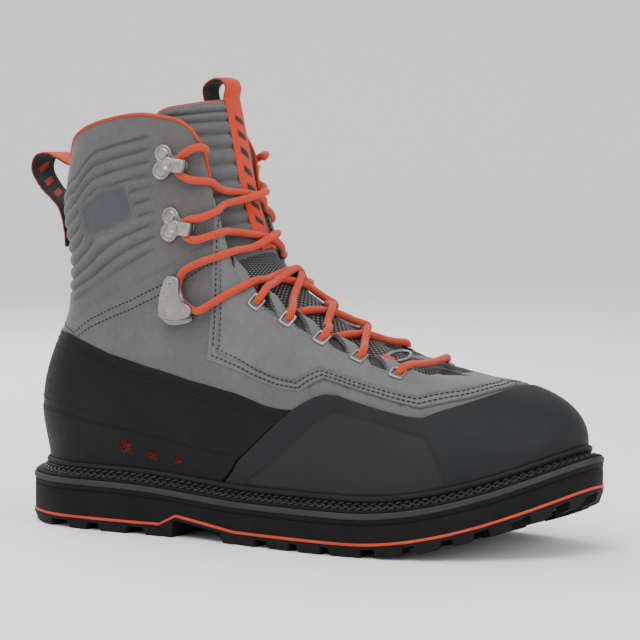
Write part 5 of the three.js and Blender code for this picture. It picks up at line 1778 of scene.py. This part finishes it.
def tongue_by_x(x):
    shares = np.linspace(0, 1, 401)
    return float(shares[np.argmin(np.abs(on_tongue(shares, 0 * shares, 0 * shares)[:, 0] - x))])


def straight_over(start, end, shares, rest=None):
    """Points over the tongue on a straight line in plan between two others"""
    rest = LACE_REST if rest is None else rest
    points = []
    for share in shares:
        x, y = mix(start[0], end[0], share), mix(start[1], end[1], share)
        points.append(on_tongue(tongue_by_x(x), y, rest))
    return points


def edge_at(z):
    places = np.linspace(0.24, 0.43, 400)
    heights = COLLAR_HEIGHT * on_loop(TOP_Z, places)
    return float(places[np.argmin(np.abs(heights - z))])


def near_face(side, at, up, out):
    return off_face(np.array([on_side(side, at)]), np.array([up]), out)[0]


def over_throat(side, from_z, to_z, rest, reach=0.15, edge=EDGE_REST, count=3):
    """Edge of one side, the tongue and the edge of the other side"""
    half = reach * SHAFT_WIDTH
    points = [near_face(side, edge_at(from_z * COLLAR_HEIGHT), 0.98, edge)]
    for share in np.linspace(0, 1, count + 1):
        height = mix(from_z, to_z, 0.15 + 0.7 * share) * COLLAR_HEIGHT
        points.append(on_tongue(tongue_at(height), AWAY[side] * mix(half, -half, share), rest))
    points.append(near_face(FAR[side], edge_at(to_z * COLLAR_HEIGHT), 0.98, edge))
    return [np.asarray(p) for p in points]


def over_face(side, x, z, out):
    places = np.linspace(0.14, 0.42, 90)
    rises = np.linspace(0.4, 0.99, 60)
    at, up = (g.ravel() for g in np.meshgrid(places, rises))
    turned = np.mod(other_side(at), 1.0) if side == "inner" else at
    p = face(turned, up)
    best = np.argmin((p[:, 0] - x) ** 2 + (p[:, 2] - z) ** 2)
    return near_face(side, float(at[best]), float(up[best]), out)


def over_leather(side, start, end, shares):
    return [over_face(side, mix(start[0], end[0], s), mix(start[2], end[2], s), EDGE_REST) for s in shares]


def lace_floor():
    """Points the lace lies over, with the way out and the room its middle needs"""
    spots, outs, room = [], [], []
    for side in ("outer", "inner"):
        at, up = (g.ravel() for g in np.meshgrid(np.linspace(0.2, 0.44, 110), np.linspace(0.45, 0.995, 34)))
        at = np.mod(other_side(at), 1.0) if side == "inner" else at
        spots.append(face(at, up))
        outs.append(face_axes(at, np.minimum(up, STEADY))[2])
        room.append(LACE_RADIUS + np.where(half_place(at) < 0.3, 0.9, 1.7))
    share, y = (g.ravel() for g in np.meshgrid(np.linspace(0, 1, 120), np.linspace(-28, 24, 30)))
    strap = (np.abs(y) < STRAP_WIDTH / 2 + 1) & (share > 0.6)
    rest = np.where(strap, STRAP_REST - 0.7 + WEBBING_THICKNESS, 0.6)
    low = on_tongue(share, y, rest)
    spots.append(low)
    outs.append(unit(on_tongue(share, y, rest + 1) - low))
    room.append(np.full(len(share), LACE_RADIUS + 0.45))
    return np.vstack(spots), np.vstack(outs), np.concatenate(room)


def eased(points, rounds=5):
    """The same line with its corners rounded; its ends stay"""
    length = np.linalg.norm(np.diff(points, axis=0), axis=1).sum()
    line = spline(points, max(8, int(length / 2)))
    for _ in range(rounds):
        line[1:-1] = mix(line[1:-1], (line[:-2] + line[2:]) / 2, 0.5)
    return line


def laid(points, floor):
    """Lace line pushed clear of what it lies over; its ends stay"""
    spots, outs, room = floor
    length = np.linalg.norm(np.diff(points, axis=0), axis=1).sum()
    line = spline(points, max(6, int(length / 3)))
    for _ in range(14):
        line[1:-1] = mix(line[1:-1], (line[:-2] + line[2:]) / 2, 0.25)
        for i in range(1, len(line) - 1):
            away = line[i] - spots
            far = np.linalg.norm(away, axis=1)
            k = int(np.argmin(far - room))
            if far[k] < room[k]:
                push = away[k] / max(far[k], 0.01)
                if np.dot(away[k], outs[k]) <= 0:
                    push = outs[k]
                line[i] = line[i] + push * (room[k] - far[k])
    return line


def lifted(line, others, floor, amount):
    """Raises or lowers a strand where it crosses others"""
    spots, outs, _ = floor
    moved = line.copy()
    for i in range(len(line)):
        near = min(np.linalg.norm(other - line[i], axis=1).min() for other in others)
        share = float(smooth((9.0 - near) / 7.5))
        if share > 0:
            k = int(np.argmin(np.linalg.norm(spots - line[i], axis=1)))
            moved[i] = line[i] + outs[k] * amount * share
    return moved


def at_hook(side, index, where, leave=6.4):
    at, up = HOOKS[index]
    origin, axes = seat(on_side(side, at), up, HOOK_SEAT)
    forward = 1 if side == "outer" else -1
    z = HOOK_PLATE + HOOK_ROOM / 2
    return [
        origin + np.array([forward * x, where * y, z + lift]) @ axes
        for x, y, lift in ((4.6, 0.0, 0.0), (5.4, 3.2, 0.0), (8.8, 5.3, 0.2), (14.5, leave, 0.6))
    ]


def through_eyelet(side, index):
    """Points from inside the boot out through an eyelet and on towards the throat"""
    at, up = EYELETS[index]
    origin, axes = seat(on_side(side, at), side_up(side, up), EYELET_SEAT)
    forward = 1 if side == "outer" else -1
    return [origin + np.array([forward * p[0], p[1], p[2]]) @ axes for p in ((0, 0, -4.0), (0, 0.1, -1.0), (0.3, 0.6, 1.6), (1.6, 2.4, 3.6))]


def laces():
    floor = lace_floor()
    legs = {}
    for side in ("outer", "inner"):
        far = FAR[side]
        forward = 1 if side == "outer" else -1
        for i in (1, 2, 3):
            between = (EYELETS[i - 1][0] + EYELETS[i][0]) / 2
            out_of = through_eyelet(side, i)
            hidden = [near_face(far, between, 0.93, -1.4), near_face(far, between, 0.86, -2.6)]
            over = straight_over(out_of[3], hidden[0], (0.3, 0.5, 0.7, 0.86))
            legs[side, "eyelet", i] = (out_of[:3], [out_of[3], *over], hidden)
        origin, axes = seat(on_side(side, ANKLE_HOOK[0]), ANKLE_HOOK[1], ANKLE_SEAT)
        local = [origin + np.array([forward * x, y, z]) @ axes for x, y, z in (
            (13.8, -3.9, 4.0), (8.4, -3.2, 2.4), (3.8, -1.6, 2.2), (0.2, 2.4, 2.2), (-0.8, 8.2, 2.2), (2.2, 15.4, 2.9),
        )]
        rim = near_face(side, edge_at(0.603 * COLLAR_HEIGHT), 0.96, EDGE_REST)
        into = through_eyelet(far, 0)[::-1]
        legs[side, "instep", 0] = (
            [], [local[0], *over_leather(side, local[0], rim, (0.35, 0.7)), rim,
                 *straight_over(rim, into[0], (0.25, 0.5, 0.75)), into[0]], into[1:],
        )
        lower = over_throat(side, 0.676, 0.727, OVER_STRAP)
        far_middle = at_hook(far, 1, -1, 4.6)
        legs[side, "lower", 0] = (
            local[1:5], [local[5]] + over_leather(side, local[5], lower[0], (0.5,)) + lower
            + over_leather(far, lower[-1], far_middle[3], (0.4,)) + [far_middle[3]], far_middle[2::-1],
        )
        near_middle = at_hook(side, 1, 1)
        upper = over_throat(side, 0.79, 0.828, OVER_STRAP)
        far_top = at_hook(far, 0, -1)
        legs[side, "upper", 0] = (
            near_middle[1:3], [near_middle[3]] + over_leather(side, near_middle[3], upper[0], (0.6,)) + upper
            + over_leather(far, upper[-1], far_top[3], (0.4,)) + [far_top[3]], far_top[2::-1],
        )
    lines = {}
    for key, (start, middle, end) in legs.items():
        lines[key] = laid(np.array(middle), floor)
    for key in list(lines):
        side, kind, _ = key
        on_top = (side == "outer") != (kind == "instep")
        others = [lines[k] for k in lines if k[0] != side and k[1] == kind]
        legs[key] = (legs[key][0], lifted(lines[key], others, floor, 2.5 if on_top else -0.7), legs[key][2])

    def whole(key):
        start, middle, end = legs[key]
        return [*start, *middle, *end]

    for side in ("outer", "inner"):
        far = FAR[side]
        for i in (1, 2, 3):
            tube(f"lace_cross_{side}_{i}", eased(np.array(whole((side, "eyelet", i)))), LACE_RADIUS, BRAID)
        top = at_hook(side, 0, 1)
        origin, axes = seat(on_side(side, HOOKS[0][0]), HOOKS[0][1], HOOK_SEAT)
        forward = 1 if side == "outer" else -1
        tail = [origin + np.array([forward * x, y, z]) @ axes for x, y, z in (
            (9.5, 7.2, 3.5), (13.0, 9.8, 3.6), (16.2, 11.0, 2.4), (17.7, 10.2, -0.6), (18.0, 8.7, -3.5),
        )]
        chain = [*whole((side, "instep", 0))[::-1], *whole((side, "lower", 0)), *whole((far, "upper", 0)),
                 top[1], *tail]
        tube(f"lace_long_{side}", eased(np.array(chain), 3), LACE_RADIUS, BRAID)
    ends = through_eyelet("outer", 4)[3], through_eyelet("inner", 4)[3]
    bar = laid(np.array([ends[0], *straight_over(ends[0], ends[1], (0.5,), LACE_REST + 1.2), ends[1]]), floor)
    bar = [*through_eyelet("outer", 4)[:3], *bar, *through_eyelet("inner", 4)[2::-1]]
    tube("lace_bar", eased(np.array(bar)), LACE_RADIUS, BRAID, tuple(f"lace_{i}" for i in range(1, 9)))


def lace_ring():
    share, y, half, depth, wire = 0.222, -6.0, 9.5, 4.0, 1.8
    rest = wire / 2 + 0.8
    point = on_tongue(share, y, rest)
    along_it = unit(on_tongue(share + 0.01, y, rest) - point)
    up = unit(np.cross(along_it, on_tongue(share, y - 1, rest) - point))
    across = np.cross(up, along_it)
    across = across * np.sign(across[1])

    def spot(u, v):
        turn, round_it = u * 2 * math.pi, v * 2 * math.pi
        c, s = np.cos(turn)[:, None], np.sin(turn)[:, None]
        out = c * along_it + s * across
        centre = point + depth * c * along_it + half * s * across
        wall = out * np.cos(round_it)[:, None] + up * np.sin(round_it)[:, None]
        return centre + wall * wire / 2, {"crease": 0 * u}

    sheet("ring_wire", 72, 12, spot, METAL, replaces=("lace_ring",), solid=True)
    # Keeper of webbing round the ring's outer end
    end = point - across * half

    def keeper(u, v):
        turn = u * 2 * math.pi
        reach = 1.9 + 0.0 * u
        spread = (v - 0.5) * 6.5
        circle = -across[None] * (np.cos(turn) * (reach + 2.6))[:, None] + up[None] * (np.sin(turn) * reach)[:, None]
        return end - across * 1.4 + circle + along_it[None] * spread[:, None], {
            "run": u * 20, "across": v, "inside": 0 * u, "dashes": 0 * u,
        }

    sheet("ring_keeper", 40, 8, keeper, WEBBING, closed=True)


# Threads
def stitch_row(points, outs, pitch, length, radius, start=0.0):
    """Middles, directions and outward ways of stitches along a line of points"""
    run = np.concatenate([[0], np.cumsum(np.linalg.norm(np.diff(points, axis=0), axis=1))])
    places = np.arange(start + pitch / 2, run[-1] - pitch / 2, pitch)
    middle = np.stack([np.interp(places, run, points[:, k]) for k in range(3)], -1)
    ahead = np.stack([np.interp(places + 0.3, run, points[:, k]) for k in range(3)], -1)
    out = unit(np.stack([np.interp(places, run, outs[:, k]) for k in range(3)], -1))
    return middle, unit(ahead - middle), out, np.full(len(places), length / 2), np.full(len(places), radius)


def stitches(name, rows, material):
    """Joined short threads, each a stretched ball"""
    ball = bmesh.new()
    bmesh.ops.create_uvsphere(ball, u_segments=6, v_segments=4, radius=1.0)
    template = bpy.data.meshes.new("thread")
    ball.to_mesh(template)
    ball.free()
    local = np.array([v.co[:] for v in template.vertices])
    polygons = [list(p.vertices) for p in template.polygons]
    bpy.data.meshes.remove(template)
    middle, ahead, out, half, radius = (np.concatenate([row[i] for row in rows]) for i in range(5))
    beside = np.cross(out, ahead)
    count, size = len(middle), len(local)
    points = (
        middle[:, None] + ahead[:, None] * (local[None, :, 2:3] * half[:, None, None])
        + beside[:, None] * (local[None, :, 0:1] * radius[:, None, None])
        + out[:, None] * (local[None, :, 1:2] * radius[:, None, None] * 0.75)
    ).reshape(-1, 3)
    faces = [[i + k * size for i in polygon] for k in range(count) for polygon in polygons]
    mesh = bpy.data.meshes.new(name)
    mesh.from_pydata(points.tolist(), [], faces)
    return placed(name, mesh, material, scale=MM)


def face_row(at, up, out, pitch=2.7, length=2.0, radius=0.38, start=0.0):
    at, up = np.asarray(at, float), np.asarray(up, float)
    points = off_face(at, up, np.full(len(at), out))
    outs = face_axes(at, np.minimum(up, STEADY))[2]
    return stitch_row(points, outs, pitch, length, radius, start)


def threads():
    leather, rand, rows = [], [], []
    start = VAMP_LOW[0, 0]
    u = np.linspace(0, 1, 900)
    place, _ = round_toe(u, start)
    top = VAMP_THICKNESS + 0.55
    for off in (2.4, 5.3):
        # Along the lower edge, moved in by a set distance
        low = read(VAMP_LOW, place) + off / (175 - 105 * smooth((place - 0.35) / 0.1))
        moved = np.maximum(place, start + off / 400)
        leather.append(face_row(across_to(u, moved, True), low, top))
        # Up the rear edge on each side
        v = np.linspace(0.05, 0.97, 200)
        rear = start + (VAMP_REAR_TOP - start) * v + off / 400
        up = mix(VAMP_LOW[0, 1], vamp_edge(rear), v)
        for side in ("outer", "inner"):
            at = rear if side == "outer" else np.mod(other_side(rear), 1.0)
            leather.append(face_row(at, up, top))
    # Along the scalloped throat edge
    v = np.linspace(0.0, 1.0, 500)
    span = mix(0.29, 0.43, v)
    up = vamp_edge(span) - 0.03
    for side in ("outer", "inner"):
        at = span if side == "outer" else np.mod(other_side(span), 1.0)
        leather.append(face_row(at, up, top, 2.3, 1.6, 0.33))
    # Under the shaft seam
    u = np.linspace(0, 1, 900)
    place, at = round_heel(u, 0.283)
    for off in (0.014, 0.03):
        leather.append(face_row(at, read(SHAFT_SEAM, place) - 0.012 - off, 1.25, 2.6, 1.9, 0.36))
    stitches("leather_threads", leather, DARK_THREAD)
    # Rand
    place, at = round_heel(u, 0.318)
    for off in (0.02, 0.036):
        rand.append(face_row(at, read(HEEL_RAND_TOP, place) - off, 2.0, 2.7, 2.0, 0.35))
    place, at = round_heel(u, 0.262)
    rand.append(face_row(at, read(HEEL_STEP, place) + 0.02, 1.95, 2.7, 2.0, 0.35))
    stitches("rand_threads", rand, RAND_THREAD)
    # Welt
    at = np.linspace(0, 1, 1600)
    for reach, rise, start, slant in ((7.7, 1.7, 0.0, 0.5), (5.6, 2.6, 2.2, -0.5), (4.0, 4.1, 0.9, 0.5)):
        x, y, nx, ny = feather(at, reach)
        points = np.stack([x, y, plate_top(x) + rise], -1)
        outs = unit(np.stack([nx, ny, 0 * x + 1], -1))
        middle, ahead, out, half, radius = stitch_row(points, outs, 4.4, 4.8, 1.1, start)
        rows.append((middle, unit(ahead + slant * np.cross(out, ahead)), out, half, radius))
    stitches("welt_threads", rows, WELT_THREAD)


upper_shell()
gusset()
shaft_panel()
quarter_panel()
vamp()
overlay("heel_rand_skin", 640, 110, heel_rand_spot, RAND_THICKNESS, RAND_RUBBER, base=0.2, round_over=0.8,
        relief=heel_rand_relief, replaces=("heel_rand",), firm=(0.4, 1.5))
overlay("toe_rand_skin", 520, 70, toe_rand_spot, RAND_THICKNESS + 0.3, TOE_RUBBER, base=0.2, round_over=0.8,
        relief=toe_rand_relief, replaces=("toe_rand",), firm=(0.4, 1.5))
bead()
tongue()
tongue_strap()
heel_loop()
piping()
fittings()
laces()
lace_ring()
threads()
sole_layers()
outsole()
insole_and_lining()
studio()
